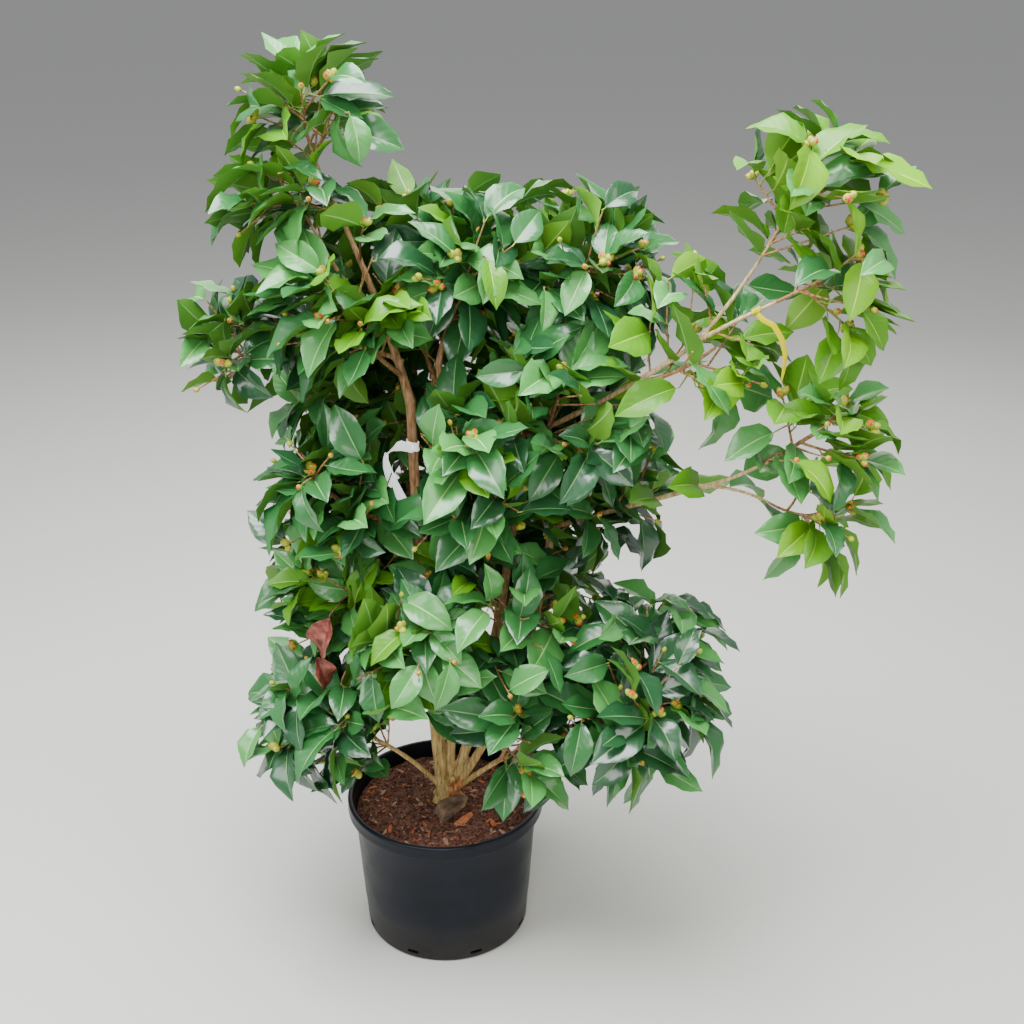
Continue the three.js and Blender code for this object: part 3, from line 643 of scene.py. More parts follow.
def lineDistances(a, b, starts, across):  # the least distances from one stretch to many others
    along = b - a
    between = a - starts
    aa, cc = along.dot(along), np.einsum("ij,ij->i", across, across)
    ac, ab = across @ along, between @ along
    cb = np.einsum("ij,ij->i", across, between)
    spread = aa * cc - ac * ac
    safe = np.where(spread > 1e-9, spread, 1)
    s = np.where(spread > 1e-9, np.clip((ac * cb - cc * ab) / safe, 0, 1), 0)
    t = np.clip((ac * s + cb) / cc, 0, 1)
    s = np.clip((ac * t - ab) / aa, 0, 1)
    return np.linalg.norm(between + s[:, None] * along - t[:, None] * across, axis=1)


def branchHeading(tangent, tilt, turn):
    side = np.array([1.0, 0, 0]) if abs(tangent[2]) > 0.9 else upward
    across = turned(unit(np.cross(side, tangent)), tangent, turn)
    return tangent * math.cos(tilt) + across * math.sin(tilt)


def growShoots(mass, order, around):
    draw = makeDraw(mass["seed"])
    count = int(mass["spread"] * shootSize["perSpread"] + 0.5)
    shoots = []
    for attempt in range(count * shootSize["tries"]):
        place = attempt // shootSize["tries"]
        last = place == count - 1
        spaced = shootSize["start"] + (shootSize["end"] - shootSize["start"]) * place / (count - 1)
        share = lastShoot["at"] if last else spaced
        turn = math.radians(place * goldenAngle + shootSize["turnPlay"] * draw())
        tiltDegrees = shootSize["tilt"] + shootSize["tiltPlay"] * draw()
        tilt = math.radians(lastShoot["tilt"] if last else tiltDegrees)
        varied = shootSize["length"] + shootSize["lengthPlay"] * draw()
        length = mass["spread"] * (lastShoot["length"] if last else varied)
        seed = math.floor(1e6 * draw())
        budded = draw() < budShare
        if any(shoot["place"] == place for shoot in shoots):
            continue
        root = mass["curve"].at(share)
        along = branchHeading(mass["curve"].tangent(share), tilt, turn)
        along = unit(along + upward * shootSize["lift"])
        tip = root + along * length
        if not around.inSpace(root, order) or not around.inSpace(tip, order):
            continue
        if not around.isClear([(root, tip)], mass["name"]):
            continue
        apart = mass["spread"] * shootSize["apart"]
        if any(np.linalg.norm(shoot["tip"] - tip) < apart for shoot in shoots):
            continue
        shoots.append(dict(place=place, root=root, tip=tip, along=along, seed=seed, budded=budded))
    return shoots


def bladeCorners(root, along, normal, length, width):
    side = np.cross(normal, along)
    dip = bladeSize["droop"] * length
    edge = -dip * bladeSize["widest"] - bladeSize["drop"]
    middle = root + along * length * bladeSize["widest"] + normal * edge
    return [root, root + along * length - normal * dip, middle + side * width / 2,
            middle - side * width / 2]


def growBlade(shoot, mass, order, size, draw):
    flat = unit(mass["middle"] * np.array([1, 1, 0]))
    spaced = bladePose["start"] + (bladePose["end"] - bladePose["start"]) * order / (
        bladePose["perShoot"] - 1)
    share = spaced - bladePose["stray"] * draw()
    root = shoot["root"] + (shoot["tip"] - shoot["root"]) * share
    turn = math.radians(order * goldenAngle + bladePose["turnPlay"] * draw())
    closed = bladePose["tilt"] - bladePose["closing"] * share
    tilt = math.radians(closed + bladePose["tiltPlay"] * draw())
    along = branchHeading(shoot["along"], tilt, turn)
    along = unit(along + upward * (-bladePose["hang"] - bladePose["hangPlay"] * draw()))
    normal = upward * facing["up"] + flat * facing["outward"]
    sway = np.array([draw() - 0.5, draw() - 0.5, 0])
    normal = normal + sway * facing["play"]
    normal = unit(normal - along * normal.dot(along))
    scale = size * (bladePose["scale"] + bladePose["scalePlay"] * draw())
    return dict(root=root, along=along, normal=normal, length=bladeSize["length"] * scale,
                corners=bladeCorners(root, along, normal, bladeSize["length"] * scale,
                                     bladeSize["width"] * scale))


bladeEdges = ((0, 1), (2, 3), (0, 2), (0, 3), (2, 1), (3, 1))
bladeFaces = ((0, 1, 2), (0, 3, 1), (0, 2, 3), (1, 3, 2))


def growMass(mass, order, around):
    # the blades of the source's solid: each stands for a spray of finer leaves here
    shoots = growShoots(mass, order, around)
    mass["shoots"], blades = shoots, []
    for shoot in shoots:
        shoot["blades"] = []
        for place in range(bladePose["perShoot"]):
            draw = makeDraw(shoot["seed"] + place)
            for attempt in range(bladePose["tries"]):
                size = 1 if attempt < smallerBlade["after"] else smallerBlade["scale"]
                blade = growBlade(shoot, mass, place, size, draw)
                corners = blade["corners"]
                if not all(around.inSpace(corner, order) for corner in corners):
                    continue
                lines = [(corners[i], corners[j]) for i, j in bladeEdges]
                if not around.isClear(lines, mass["name"]):
                    continue
                midrib = (corners[0] + (corners[1] - corners[0]) * 0.25, corners[1])
                if blades:
                    starts = np.array([other["midrib"][0] for other in blades])
                    across = np.array([other["midrib"][1] for other in blades]) - starts
                    if lineDistances(*midrib, starts, across).min() < bladeSize["apart"]:
                        continue
                tree = BVHTree.FromPolygons([tuple(c) for c in corners], bladeFaces)
                if any(tree.overlap(other["tree"]) for other in blades):
                    continue
                if crossesWood(tree, lines, mass, shoot):
                    continue
                blade.update(midrib=midrib, tree=tree)
                blades.append(blade)
                shoot["blades"].append(blade)
                break
    return len(blades)


def crossesWood(tree, lines, mass, own):
    stretches = [(s["root"], s["tip"]) for s in mass["shoots"] if s is not own]
    stretches.append((mass["curve"].at(0), mass["curve"].at(0.5)))
    stretches.append((mass["curve"].at(0.5), mass["curve"].at(1)))
    starts = np.array([a for a, b in stretches])
    across = np.array([b - a for a, b in stretches])
    if any(lineDistances(a, b, starts, across).min() < shootSize["thick"] for a, b in lines):
        return True
    return any(tree.ray_cast(Vector(a), Vector(unit(b - a)), float(np.linalg.norm(b - a)))[0] is not None
               for a, b in stretches)


limbs = placeLimbs()
masses = placeMasses(limbs)
around = Surroundings(limbs, masses)
bladeCount = sum(growMass(mass, order, around) for order, mass in enumerate(masses))
print("stage 2: grown", len(masses), "masses with", bladeCount, "sprays")


# the leaf, modelled once in a few forms and copied

leafForm = dict(
    # (place along the blade, half width) of the outline, as shares of the length
    outline=((0.0, 0.014), (0.06, 0.11), (0.17, 0.226), (0.32, 0.298), (0.48, 0.306), (0.64, 0.262),
             (0.79, 0.166), (0.92, 0.056), (1.0, 0.0008)),
    acrossStops=(-1.0, -0.55, -0.038, 0.038, 0.55, 1.0), underStops=(-1.0, -0.05, 0.05, 1.0),
    thickness=0.012, ribDepth=0.0018, ribEdge=0.1, keelPower=7, fullHalf=0.3, opening=0.45, waves=15,
    offBeat=2, mergeUnder=0.003)

# fold is the rise of each half in degrees, curl the bend along the midrib in degrees
leafVariants = (
    dict(fold=24, curl=22, bulge=0.07, wave=0.04, twist=10, width=1.0),
    dict(fold=33, curl=34, bulge=0.08, wave=0.05, twist=-16, width=0.96),
    dict(fold=15, curl=14, bulge=0.08, wave=0.045, twist=14, width=1.06),
    dict(fold=28, curl=54, bulge=0.09, wave=0.045, twist=22, width=1.0),
    dict(fold=40, curl=28, bulge=0.08, wave=0.055, twist=-12, width=1.06),
    dict(fold=20, curl=-14, bulge=0.07, wave=0.045, twist=-8, width=0.94),
)


def bladePoint(share, across, form, sink):
    # one point of a leaf of unit length, whose base is the origin and whose upper side faces +Z
    places, halves = zip(*leafForm["outline"])
    halfWidth = np.interp(share, places, halves) * form["width"]
    fold = math.radians(form["fold"] * (1 - leafForm["opening"] * share))
    y = across * halfWidth * math.cos(fold)
    z = abs(across) * halfWidth * math.sin(fold)
    z += form["bulge"] * halfWidth * math.sin(math.pi * min(abs(across), 1.0)) * 2
    wave = form["wave"] * halfWidth / leafForm["fullHalf"]
    beat = share * leafForm["waves"] + (leafForm["offBeat"] if across > 0 else 0)
    z += wave * abs(across) ** 3 * math.sin(beat)
    z -= sink
    roll = math.radians(form["twist"]) * share
    y, z = y * math.cos(roll) - z * math.sin(roll), y * math.sin(roll) + z * math.cos(roll)
    bendAngle = math.radians(form["curl"])
    angle = bendAngle * share
    x = math.sin(angle) / bendAngle + z * math.sin(angle)
    drop = -(1 - math.cos(angle)) / bendAngle
    return Vector((x, y, drop + z * math.cos(angle)))


def leafSheet(name, form, stops, sinkAt):
    places = [place for place, half in leafForm["outline"]]
    rows, columns = len(places) - 1, len(stops) - 1
    sheet = addPrimitive(name, bpy.ops.mesh.primitive_grid_add, x_subdivisions=rows,
                         y_subdivisions=columns, size=2)
    layer = sheet.data.uv_layers.active or sheet.data.uv_layers.new()
    layer.name = "leafMap"
    spots = {}
    for vertex in sheet.data.vertices:
        share = places[round((vertex.co.x + 1) / 2 * rows)]
        across = stops[round((vertex.co.y + 1) / 2 * columns)]
        spots[vertex.index] = (share, 0.5 + across / 2)
        vertex.co = bladePoint(share, across, form, sinkAt(share, across))
    for loop in sheet.data.loops:
        layer.data[loop.index].uv = spots[loop.vertex_index]
    return sheet


leafMarks = [bpy.data.materials.new(name) for name in ("leafTopMark", "leafRibMark", "leafUnderMark")]


def modelLeaf(order, form):
    # an upper sheet with a narrow midrib strip and a lower sheet with a keel, merged at their rim
    def rib(share, across):
        return leafForm["ribDepth"] * (abs(across) < leafForm["ribEdge"]) * (1 - share)

    def keel(share, across):
        fade = 1 - share ** leafForm["keelPower"]
        return leafForm["thickness"] * (abs(across) < leafForm["ribEdge"]) * fade
    upper = leafSheet("leafUpper%d" % order, form, leafForm["acrossStops"], rib)
    lower = leafSheet("leafLower%d" % order, form, leafForm["underStops"], keel)
    for sheet, mark in ((upper, 0), (lower, 2)):
        paint(sheet, *leafMarks)
        for face in sheet.data.polygons:
            spots = [sheet.data.uv_layers["leafMap"].data[i].uv for i in face.loop_indices]
            narrow = max(abs(spot[1] - 0.5) for spot in spots) < leafForm["ribEdge"] / 2
            onRib = narrow and max(spot[0] for spot in spots) < 0.95
            face.material_index = 1 if onRib else mark
    editAll(lower, bpy.ops.mesh.flip_normals)
    leaf = joinPieces([upper, lower])
    editAll(leaf, lambda: bpy.ops.mesh.remove_doubles(threshold=leafForm["mergeUnder"]))
    return leaf


def readShape(piece):  # a modelled shape as arrays, for copying
    mesh = piece.data
    vertices = np.array([v.co for v in mesh.vertices])
    faces = [list(face.vertices) for face in mesh.polygons]
    marks = [face.material_index for face in mesh.polygons]
    leafMap = np.zeros((len(vertices), 2))
    layer = mesh.uv_layers.get("leafMap")
    if layer:
        for loop in mesh.loops:
            leafMap[loop.vertex_index] = layer.data[loop.index].uv
    bpy.data.objects.remove(piece)
    return dict(vertices=vertices, faces=faces, marks=marks, map=leafMap)


leafShapes = [readShape(modelLeaf(order, form)) for order, form in enumerate(leafVariants)]
print("stage 3: leaf forms modelled,", len(leafShapes[0]["faces"]), "faces each")


# sprays: each blade of the source becomes a short side twig with up to three leaves

sprayPlan = dict(leafRoom=110, petiole=7, woodRoom=2.5, clearShare=0.8,
                 lengths=(74, 110), shares=(0.86, 0.78, 0.7), starts=(0.2, 0.12, 0.05),
                 turns=(0, 50, -54), turnPlay=34, pitch=(-4, 8, 12), pitchPlay=30, rollPlay=48,
                 counted=(1, 1, 0.8), countedOpen=(1, 0.55, 0.1), countedBright=(0.72, 0.36, 0.0),
                 lift=0.42, above=0.03, sizePlay=(0.92, 0.16), firstPlay=0.5, morePlay=0.25,
                 overReach=6, underRim=8, twig=(1.5, 1.25, 1.0), stalk=(1.1, 0.9, 0.8))
openMasses = ("foliage_crown_top", "foliage_crown_left", "foliage_arm_left")  # sky shows through these

# how often each mixture deals each colour of leaf; the darker mixtures are partly painted shade and the
# lighter ones partly painted light
toneMixtures = {
    "deep_and_shaded": (("leafDeep", 0.48), ("leafDark", 0.38), ("leafMid", 0.14)),
    "mixed": (("leafDeep", 0.24), ("leafDark", 0.42), ("leafMid", 0.29), ("leafBright", 0.05)),
    "fresh_and_lit": (("leafDeep", 0.1), ("leafDark", 0.3), ("leafMid", 0.44), ("leafBright", 0.16)),
    "bright_and_backlit": (("leafDark", 0.12), ("leafMid", 0.28), ("leafBright", 0.4), ("leafYoung", 0.2)),
}
# each tone's upper side, midrib, underside and gloss. The leafBright and leafYoung tones are young growth in
# part and in part painted light, yellow-green like leaves lit from behind. The undersides are paler than the
# tops as a real leaf's are, and also made lighter to stand in for light coming through the leaf: painted
# light
toneColours = {
    "leafDeep": dict(top="#1f4c2a", rib="#6b9a5c", under="#467822", gloss=0.55),
    "leafDark": dict(top="#2d6833", rib="#80ae68", under="#518526", gloss=0.5),
    "leafMid": dict(top="#4b8f45", rib="#96c474", under="#62982a", gloss=0.42),
    "leafBright": dict(top="#4f8812", rib="#90ba44", under="#568618", gloss=0.16),
    "leafYoung": dict(top="#659b0c", rib="#a4ca46", under="#6b9e18", gloss=0.08),
}

leafStores = {tone: newStore() for tone in toneColours}
twigStore, stalkStore = newStore(), newStore()
mostLeaves = 9000
placedLeaves = dict(centres=np.zeros((mostLeaves, 3)), trees=[])
proxyRows = ((0.0, 0.03), (0.3, 0.28), (0.62, 0.25), (1.0, 0.02))
reachLow, reachHigh = (np.array(corner) / mm for corner in cadBox)
boxRoom, tipRoom = 4, 6  # what leaves, buds and shoots' tips leave free inside the solids' box


def outsideBox(points, room):
    return (points < reachLow + room).any() or (points > reachHigh - room).any()


def pickTone(mixture, value):
    for tone, share in toneMixtures[mixture]:
        value -= share
        if value <= 0:
            return tone
    return toneMixtures[mixture][-1][0]


def leafProxy(root, along, normal, length, form):
    # a coarse stand-in for the leaf, to find crossings with
    side = np.cross(normal, along)
    points = []
    for share, half in proxyRows:
        for across in (-1, 0, 1):
            x, y, z = bladePoint(share, across, form, 0)
            points.append(root + (x * along + across * half * form["width"] * side + z * normal) * length)
    faces = [(3 * k + i, 3 * k + i + 1, 3 * k + i + 4, 3 * k + i + 3) for k in range(3) for i in range(2)]
    points = np.array(points)
    return points, BVHTree.FromPolygons(points.tolist(), faces)


def crossingCount(tree, centre):
    count = len(placedLeaves["trees"])
    apart = np.linalg.norm(placedLeaves["centres"][:count] - centre, axis=1)
    near = np.flatnonzero(apart < sprayPlan["leafRoom"])
    return sum(1 for k in near if tree.overlap(placedLeaves["trees"][k]))


def leafFits(points, mass, limit):
    # the leaf stays in the box of the solids, in reach of its mass and off the pot's rim
    if outsideBox(points, boxRoom):
        return False
    reach = limit or mass["spread"] * massStem["limit"] + sprayPlan["overReach"]
    if np.linalg.norm(points[-2] - mass["middle"]) > reach:
        return False
    for point in points:
        overPot = math.hypot(point[0], point[1]) < overRim["radius"]
        if point[2] < (overRim["height"] if overPot else overRim["low"]) - sprayPlan["underRim"]:
            return False
    return True


def addLeaf(root, along, normal, length, tone, mass, draws, tries=7, mayCross=1, limit=None, own=""):
    # tries a few poses near the wished one and keeps the one that crosses fewest leaves
    best = None
    for attempt in range(tries):
        play = sprayPlan["firstPlay"] + sprayPlan["morePlay"] * attempt
        turn, pitch, roll = (math.radians(sprayPlan[kind] * play * (draws.random() - 0.5))
                             for kind in ("turnPlay", "pitchPlay", "rollPlay"))
        posed = turned(along, normal, turn)
        side = np.cross(normal, posed)
        posed = turned(posed, side, pitch)
        facingUp = turned(turned(normal, side, pitch), posed, roll)
        variant = draws.randrange(len(leafVariants))
        base = root + posed * sprayPlan["petiole"]
        points, tree = leafProxy(base, posed, facingUp, length, leafVariants[variant])
        if not leafFits(points, mass, limit):
            continue
        if not around.isClear([(points[4], points[-2])], None, sprayPlan["woodRoom"]):
            continue
        if hidesWood((points[1], points[-2]), 1 if limit else sprayPlan["clearShare"], own):
            continue
        centre = points[4] + (points[7] - points[4]) / 2
        crossed = crossingCount(tree, centre)
        if best is None or crossed < best[0]:
            best = (crossed, base, posed, facingUp, variant, tree, centre)
        if crossed == 0:
            break
    if best is None or best[0] > mayCross:
        return False
    crossed, base, posed, facingUp, variant, tree, centre = best
    placedLeaves["centres"][len(placedLeaves["trees"])] = centre
    placedLeaves["trees"].append(tree)
    shape = leafShapes[variant]
    axes = np.array([posed, np.cross(facingUp, posed), facingUp])
    addShape(leafStores[tone], base + shape["vertices"] @ axes * length, shape["faces"],
             shape["marks"], shape["map"])
    middle = (root + base) / 2 - facingUp * 0.6
    stalk = [root - posed, middle, base + posed * length * 0.05]
    addTube(stalkStore, stalk, sprayPlan["stalk"], 4)
    return True


def densityOf(mass):  # says which counts and tries the mass takes from the plans
    return "Bright" if mass["tone"] == "bright_and_backlit" else "Open" if mass["name"] in openMasses else ""


def growSpray(blade, mass, draws):
    root, along, normal, length = blade["root"], blade["along"], blade["normal"], blade["length"]
    tone = pickTone(mass["tone"], draws.random())
    hand = 1 if draws.random() < 0.5 else -1
    rise = normal * length * sprayPlan["above"]
    total, reached = 0, 0
    counted = sprayPlan["counted" + densityOf(mass)]
    for order in range(3):
        if draws.random() > counted[order]:
            continue
        start = root + along * length * sprayPlan["starts"][order] + rise * (order < 2)
        turn = math.radians(sprayPlan["turns"][order] * hand)
        pitch = math.radians(-sprayPlan["pitch"][order])
        leafAlong = turned(along, normal, turn)
        leafSide = np.cross(normal, leafAlong)
        leafAlong = turned(leafAlong, leafSide, pitch)
        leafNormal = turned(normal, leafSide, pitch)
        leafAlong = unit(leafAlong + upward * sprayPlan["lift"])
        leafNormal = unit(leafNormal - leafAlong * leafNormal.dot(leafAlong))
        low, high = sprayPlan["lengths"]
        leafLength = min(high, max(low, length * sprayPlan["shares"][order]))
        leafLength *= sprayPlan["sizePlay"][0] + sprayPlan["sizePlay"][1] * draws.random()
        if addLeaf(start, leafAlong, leafNormal, leafLength, tone, mass, draws):
            total += 1
            reached = max(reached, sprayPlan["starts"][order])
    blade["twigEnd"] = None
    if total > 0:  # the spray's twig ends at its last leaf
        blade["twigEnd"] = root + along * (length * reached + 2) + rise
        twig = [root - along * 1.2, (root + blade["twigEnd"] + rise) / 2, blade["twigEnd"]]
        addTube(twigStore, twig, sprayPlan["twig"], 5, 1)
    return total


def growTwigs(mass):
    # the mass's own stem and its shoots, from the limb out; each shoot has a slight S-bend
    sunk, bow, turns, shootRadii = 1.5, 0.016, 9.4, np.linspace(2.3, 1.35, 7)
    curve, thick, thin = mass["curve"], mass["thick"], shootSize["thick"]
    shares = np.linspace(0, 1, 9)
    points = [curve.at(share) for share in shares]
    points[0] = points[0] - curve.tangent(0) * (sunk if mass["onTip"] else 0)
    addTube(twigStore, points, [thick + (thin - thick) * share for share in shares], 8)
    for shoot in mass["shoots"]:
        span = shoot["tip"] - shoot["root"]
        side = unit(np.cross(shoot["along"], upward))
        sway = float(np.linalg.norm(span)) * bow
        points = [shoot["root"] + span * share + side * sway * math.sin(turns * share)
                  for share in np.linspace(0, 1, len(shootRadii))]
        addTube(twigStore, points, shootRadii, 6)


finerPlan = dict(tries=420, triesOpen=130, triesBright=44, length=(58, 140), apart=40, tilt=(34, 84),
                 lift=0.42, outward=0.3, limit=1.2, limbLimit=1.5, inside=0.1, leafRoom=19, step=18,
                 fromLimb=0.12, clearFrom=14, woodRoom=3, twig=(1.9, 1.6, 1.1), bow=0.03,
                 leaves=(4, 6), start=0.3, leafTilt=(46, 78), endTilt=(15, 60), hang=(-0.2, 0.35),
                 size=(74, 110), endScale=0.9)


# stretches of wood that show between the leaves: the limb, from and to, and the room before it
shownWood = (
    ("trunk", 0.0, 1.0, 44), ("stem_leader", 0.0, 0.16, 24), ("stem_right", 0.0, 0.16, 24),
    ("stem_side", 0.0, 0.14, 20), ("bough_low_left", 0.2, 0.75, 18), ("bough_low_right", 0.3, 0.8, 16),
    ("stem_leader", 0.82, 1.0, 26), ("stem_leader_upper", 0.0, 0.2, 24),
    ("stem_leader_upper", 0.5, 0.75, 20), ("bough_crown_left", 0.55, 0.95, 16),
    ("stem_middle_upper", 0.0, 0.9, 16), ("stem_right", 0.62, 0.84, 24), ("stem_side", 0.55, 0.75, 20),
    ("bough_upper_right", 0.15, 0.95, 22), ("bough_upper_right_fork", 0.2, 0.9, 18),
    ("bough_upper_right_tip", 0.1, 0.9, 24), ("bough_lower_right", 0.5, 1.0, 22),
    ("bough_lower_right_tip", 0.1, 0.8, 18), ("bough_lower_right_fork", 0.1, 0.7, 16),
)
# the free end of each strap as ribbons: their way to the right of and above the limb's middle, the
# width and the angle of the width. The label is folded over where its two ribbons meet.
strapForms = {
    "plant_label": dict(room=22, band=15, ribbons=(
        ((0, -3, 15, -84), (-9, 1, 17, -86), (-18, 4, 18, -96), (-28, 3, 18, -116), (-36, -3, 15, -134),
         (-42, -11, 9, -150)),
        ((-43, -9, 6, -30), (-44, -18, 9, -10), (-42, -30, 13, 6), (-36, -47, 16, 14),
         (-26, -67, 16, 20), (-11, -96, 15, 23)))),
    "branch_tie": dict(room=20, band=13, ribbons=(
        ((1, -3, 7, 56), (10, -11, 8, 52), (24, -17, 8, 44), (36, -36, 8, 22),
         (42, -58, 7, 8), (41, -80, 5, -5), (38, -98, 2, -8)),)),
}
hangPoint = np.array([-176.0, -136.0, 702.0])  # where a dead leaf hangs at the crown's left side
hangDrops, hangRoom = (0, 25, 50, 75, 100, 125), 36
viewFrom = np.array([123.0, -2184.0, 1750.0])  # the camera's place
viewDepth = 330


def shownLines():
    # lines from the shown wood, the label, the tie and the hanging leaf towards the viewer
    rows = []
    for name, start, end, room in shownWood:
        for share in np.linspace(start, end, 7):
            rows.append((limbs[name]["curve"].at(share), room, name))
    for node, size in strapSizes.items():
        middle, form = limbs[size["on"]]["curve"].at(size["at"]), strapForms[node]
        for x, z, width, angle in sum(form["ribbons"], ()):
            rows.append((middle + np.array([x, 0, z]), form["room"], node))
    rows += [(hangPoint - upward * drop, hangRoom, "withered") for drop in hangDrops]
    starts, rooms, owners = (np.array(column) for column in zip(*rows))
    across = viewFrom - starts
    across *= viewDepth / np.linalg.norm(across, axis=1)[:, None]
    return starts, across, rooms, owners


shownStarts, shownAcross, shownRooms, shownOwners = shownLines()


def hidesWood(midrib, share, own=""):
    tooNear = lineDistances(*midrib, shownStarts, shownAcross) < shownRooms * share
    return (tooNear & (shownOwners != own)).any()


def woodPoints(mass, order):
    # places in the mass's space where a finer shoot can spring: its stem, its shoots and the limbs
    points = []
    for share in np.linspace(0.3, 1, 12):
        points.append((mass["curve"].at(share), mass["curve"].tangent(share), mass["name"]))
    for shoot in mass["shoots"]:
        for share in np.linspace(0.2, 0.92, 7):
            place = shoot["root"] + (shoot["tip"] - shoot["root"]) * share
            points.append((place, shoot["along"], mass["name"]))
    for name in limbSizes:
        curve = limbs[name]["curve"]
        for share in np.linspace(finerPlan["fromLimb"], 1, int(curve.lengths[-1] / finerPlan["step"])):
            place = curve.at(share)
            if around.inSpace(place, order):
                points.append((place, curve.tangent(share), name))
    return points


def growFiner(mass, order, tips, draws):
    # shorter leafy shoots by the same rule, in what room the first ones left
    sources, total = woodPoints(mass, order), 0
    tries = finerPlan["tries" + densityOf(mass)]
    for attempt in range(tries):
        root, tangent, owner = sources[draws.randrange(len(sources))]
        tilt = math.radians(draws.uniform(*finerPlan["tilt"]))
        along = branchHeading(tangent, tilt, 2 * math.pi * draws.random())
        outward = unit(root * np.array([1, 1, 0]) + 1e-6)
        along = unit(along + upward * finerPlan["lift"] + outward * finerPlan["outward"])
        tip = root + along * draws.uniform(*finerPlan["length"])
        if outsideBox(tip, tipRoom):
            continue
        line = (root + along * finerPlan["clearFrom"], tip)
        if not around.inSpace(tip, order) or not around.isClear([line], None, finerPlan["woodRoom"]):
            continue
        limit = mass["spread"] * finerPlan["limbLimit" if owner in limbs else "limit"]
        if np.linalg.norm(tip - mass["middle"]) > limit - finerPlan["inside"] * mass["spread"]:
            continue
        if np.linalg.norm(np.array(tips) - tip, axis=1).min() < finerPlan["apart"]:
            continue
        count = len(placedLeaves["trees"])
        apart = np.linalg.norm(placedLeaves["centres"][:count] - tip, axis=1).min()
        if apart < finerPlan["leafRoom"]:
            continue
        shoot = dict(root=root, tip=tip, along=along)
        grown = leavesAlong(shoot, mass, limit, draws)
        if grown:
            tips.append(tip)
            mass["finer"].append(shoot)
            span = tip - root
            bow = unit(np.cross(along, upward)) * np.linalg.norm(span) * finerPlan["bow"]
            addTube(twigStore, [root, root + span * 0.5 + bow, tip], finerPlan["twig"], 5)
            total += grown
    return total


def leavesAlong(shoot, mass, limit, draws):
    count, grown = draws.randint(*finerPlan["leaves"]), 0
    tone = pickTone(mass["tone"], draws.random())
    spin = 2 * math.pi * draws.random()
    for order in range(count):
        share = finerPlan["start"] + (1 - finerPlan["start"]) * (order + 0.5) / count
        root = shoot["root"] + (shoot["tip"] - shoot["root"]) * share
        tilt = math.radians(draws.uniform(*finerPlan["leafTilt"]) * (1 - 0.25 * share))
        along = branchHeading(shoot["along"], tilt, spin + math.radians(goldenAngle * order))
        along = unit(along - upward * draws.uniform(*finerPlan["hang"]))
        normal = leafFacing(root, along, draws)
        grown += addLeaf(root, along, normal, draws.uniform(*finerPlan["size"]), tone, mass, draws,
                         tries=5, mayCross=0, limit=limit)
    return grown


def growEndLeaf(shoot, mass, draws):
    # the last leaf, which goes on from the tip of its shoot
    turn = 2 * math.pi * draws.random()
    along = branchHeading(shoot["along"], math.radians(draws.uniform(*finerPlan["endTilt"])), turn)
    normal = leafFacing(shoot["tip"], along, draws)
    length = draws.uniform(*finerPlan["size"]) * finerPlan["endScale"]
    shoot["ended"] = addLeaf(shoot["tip"] - along * 2, along, normal, length,
                             pickTone(mass["tone"], draws.random()), mass, draws)
    return shoot["ended"]


def leafFacing(root, along, draws):
    flat = unit(root * np.array([1, 1, 0]) + 1e-6)
    normal = upward * facing["up"] + flat * facing["outward"]
    normal = normal + np.array([draws.random() - 0.5, draws.random() - 0.5, 0]) * facing["play"]
    return unit(normal - along * normal.dot(along))


limbLeafPlan = dict(step=42, play=(0.3, 0.4), tilt=(48, 76), size=(78, 100), limit=190, out=0.8, starts={
    "bough_upper_right": 0.42, "bough_upper_right_tip": 0.1, "bough_upper_right_fork": 0.16,
    "bough_lower_right": 0.4, "bough_lower_right_tip": 0.1, "bough_lower_right_fork": 0.1})


def growLimbLeaves(draws):
    total = 0
    for name, start in limbLeafPlan["starts"].items():
        limb = limbs[name]
        count = int(limb["curve"].lengths[-1] * (1 - start) / limbLeafPlan["step"])
        for order in range(count):
            least, more = limbLeafPlan["play"]
            share = start + (1 - start) * (order + least + more * draws.random()) / count
            place, tangent = limb["curve"].at(share), limb["curve"].tangent(share)
            flat = unit(place * np.array([1, 1, 0]))
            across = unit(np.cross(tangent, upward * facing["up"] + flat * facing["outward"]))
            across = across * (1 if order % 2 else -1)
            tilt = math.radians(draws.uniform(*limbLeafPlan["tilt"]))
            along = tangent * math.cos(tilt) + across * math.sin(tilt)
            # the bough leaves are dealt from the backlit mixture: yellow-green that is partly young growth
            # and partly painted light coming through them from behind
            near = dict(middle=place, spread=0, tone="bright_and_backlit", name=name)
            root = place + across * limb["thin"] * limbLeafPlan["out"]
            normal = leafFacing(place, along, draws)
            total += addLeaf(root, along, normal, draws.uniform(*limbLeafPlan["size"]),
                             pickTone("bright_and_backlit", draws.random()), near, draws, tries=9,
                             limit=limbLeafPlan["limit"], own=name)
    return total


draws = random.Random(20261)
sprayLeaves = finerLeaves = 0
limbLeaves = growLimbLeaves(draws)
for mass in masses:
    growTwigs(mass)
    mass["finer"] = []
    for shoot in mass["shoots"]:
        for blade in shoot["blades"]:
            sprayLeaves += growSpray(blade, mass, draws)
tips = [shoot["tip"] for mass in masses for shoot in mass["shoots"]]
for order, mass in enumerate(masses):
    finerLeaves += growFiner(mass, order, tips, draws)
endLeaves = sum(growEndLeaf(shoot, mass, draws) for mass in masses
                for shoot in mass["shoots"] + mass["finer"])
print("stage 4: sprays grown,", sprayLeaves, "leaves,", finerLeaves, "on finer shoots,", endLeaves,
      "at shoots' ends and", limbLeaves, "on boughs")


# flower buds at the shoots' tips

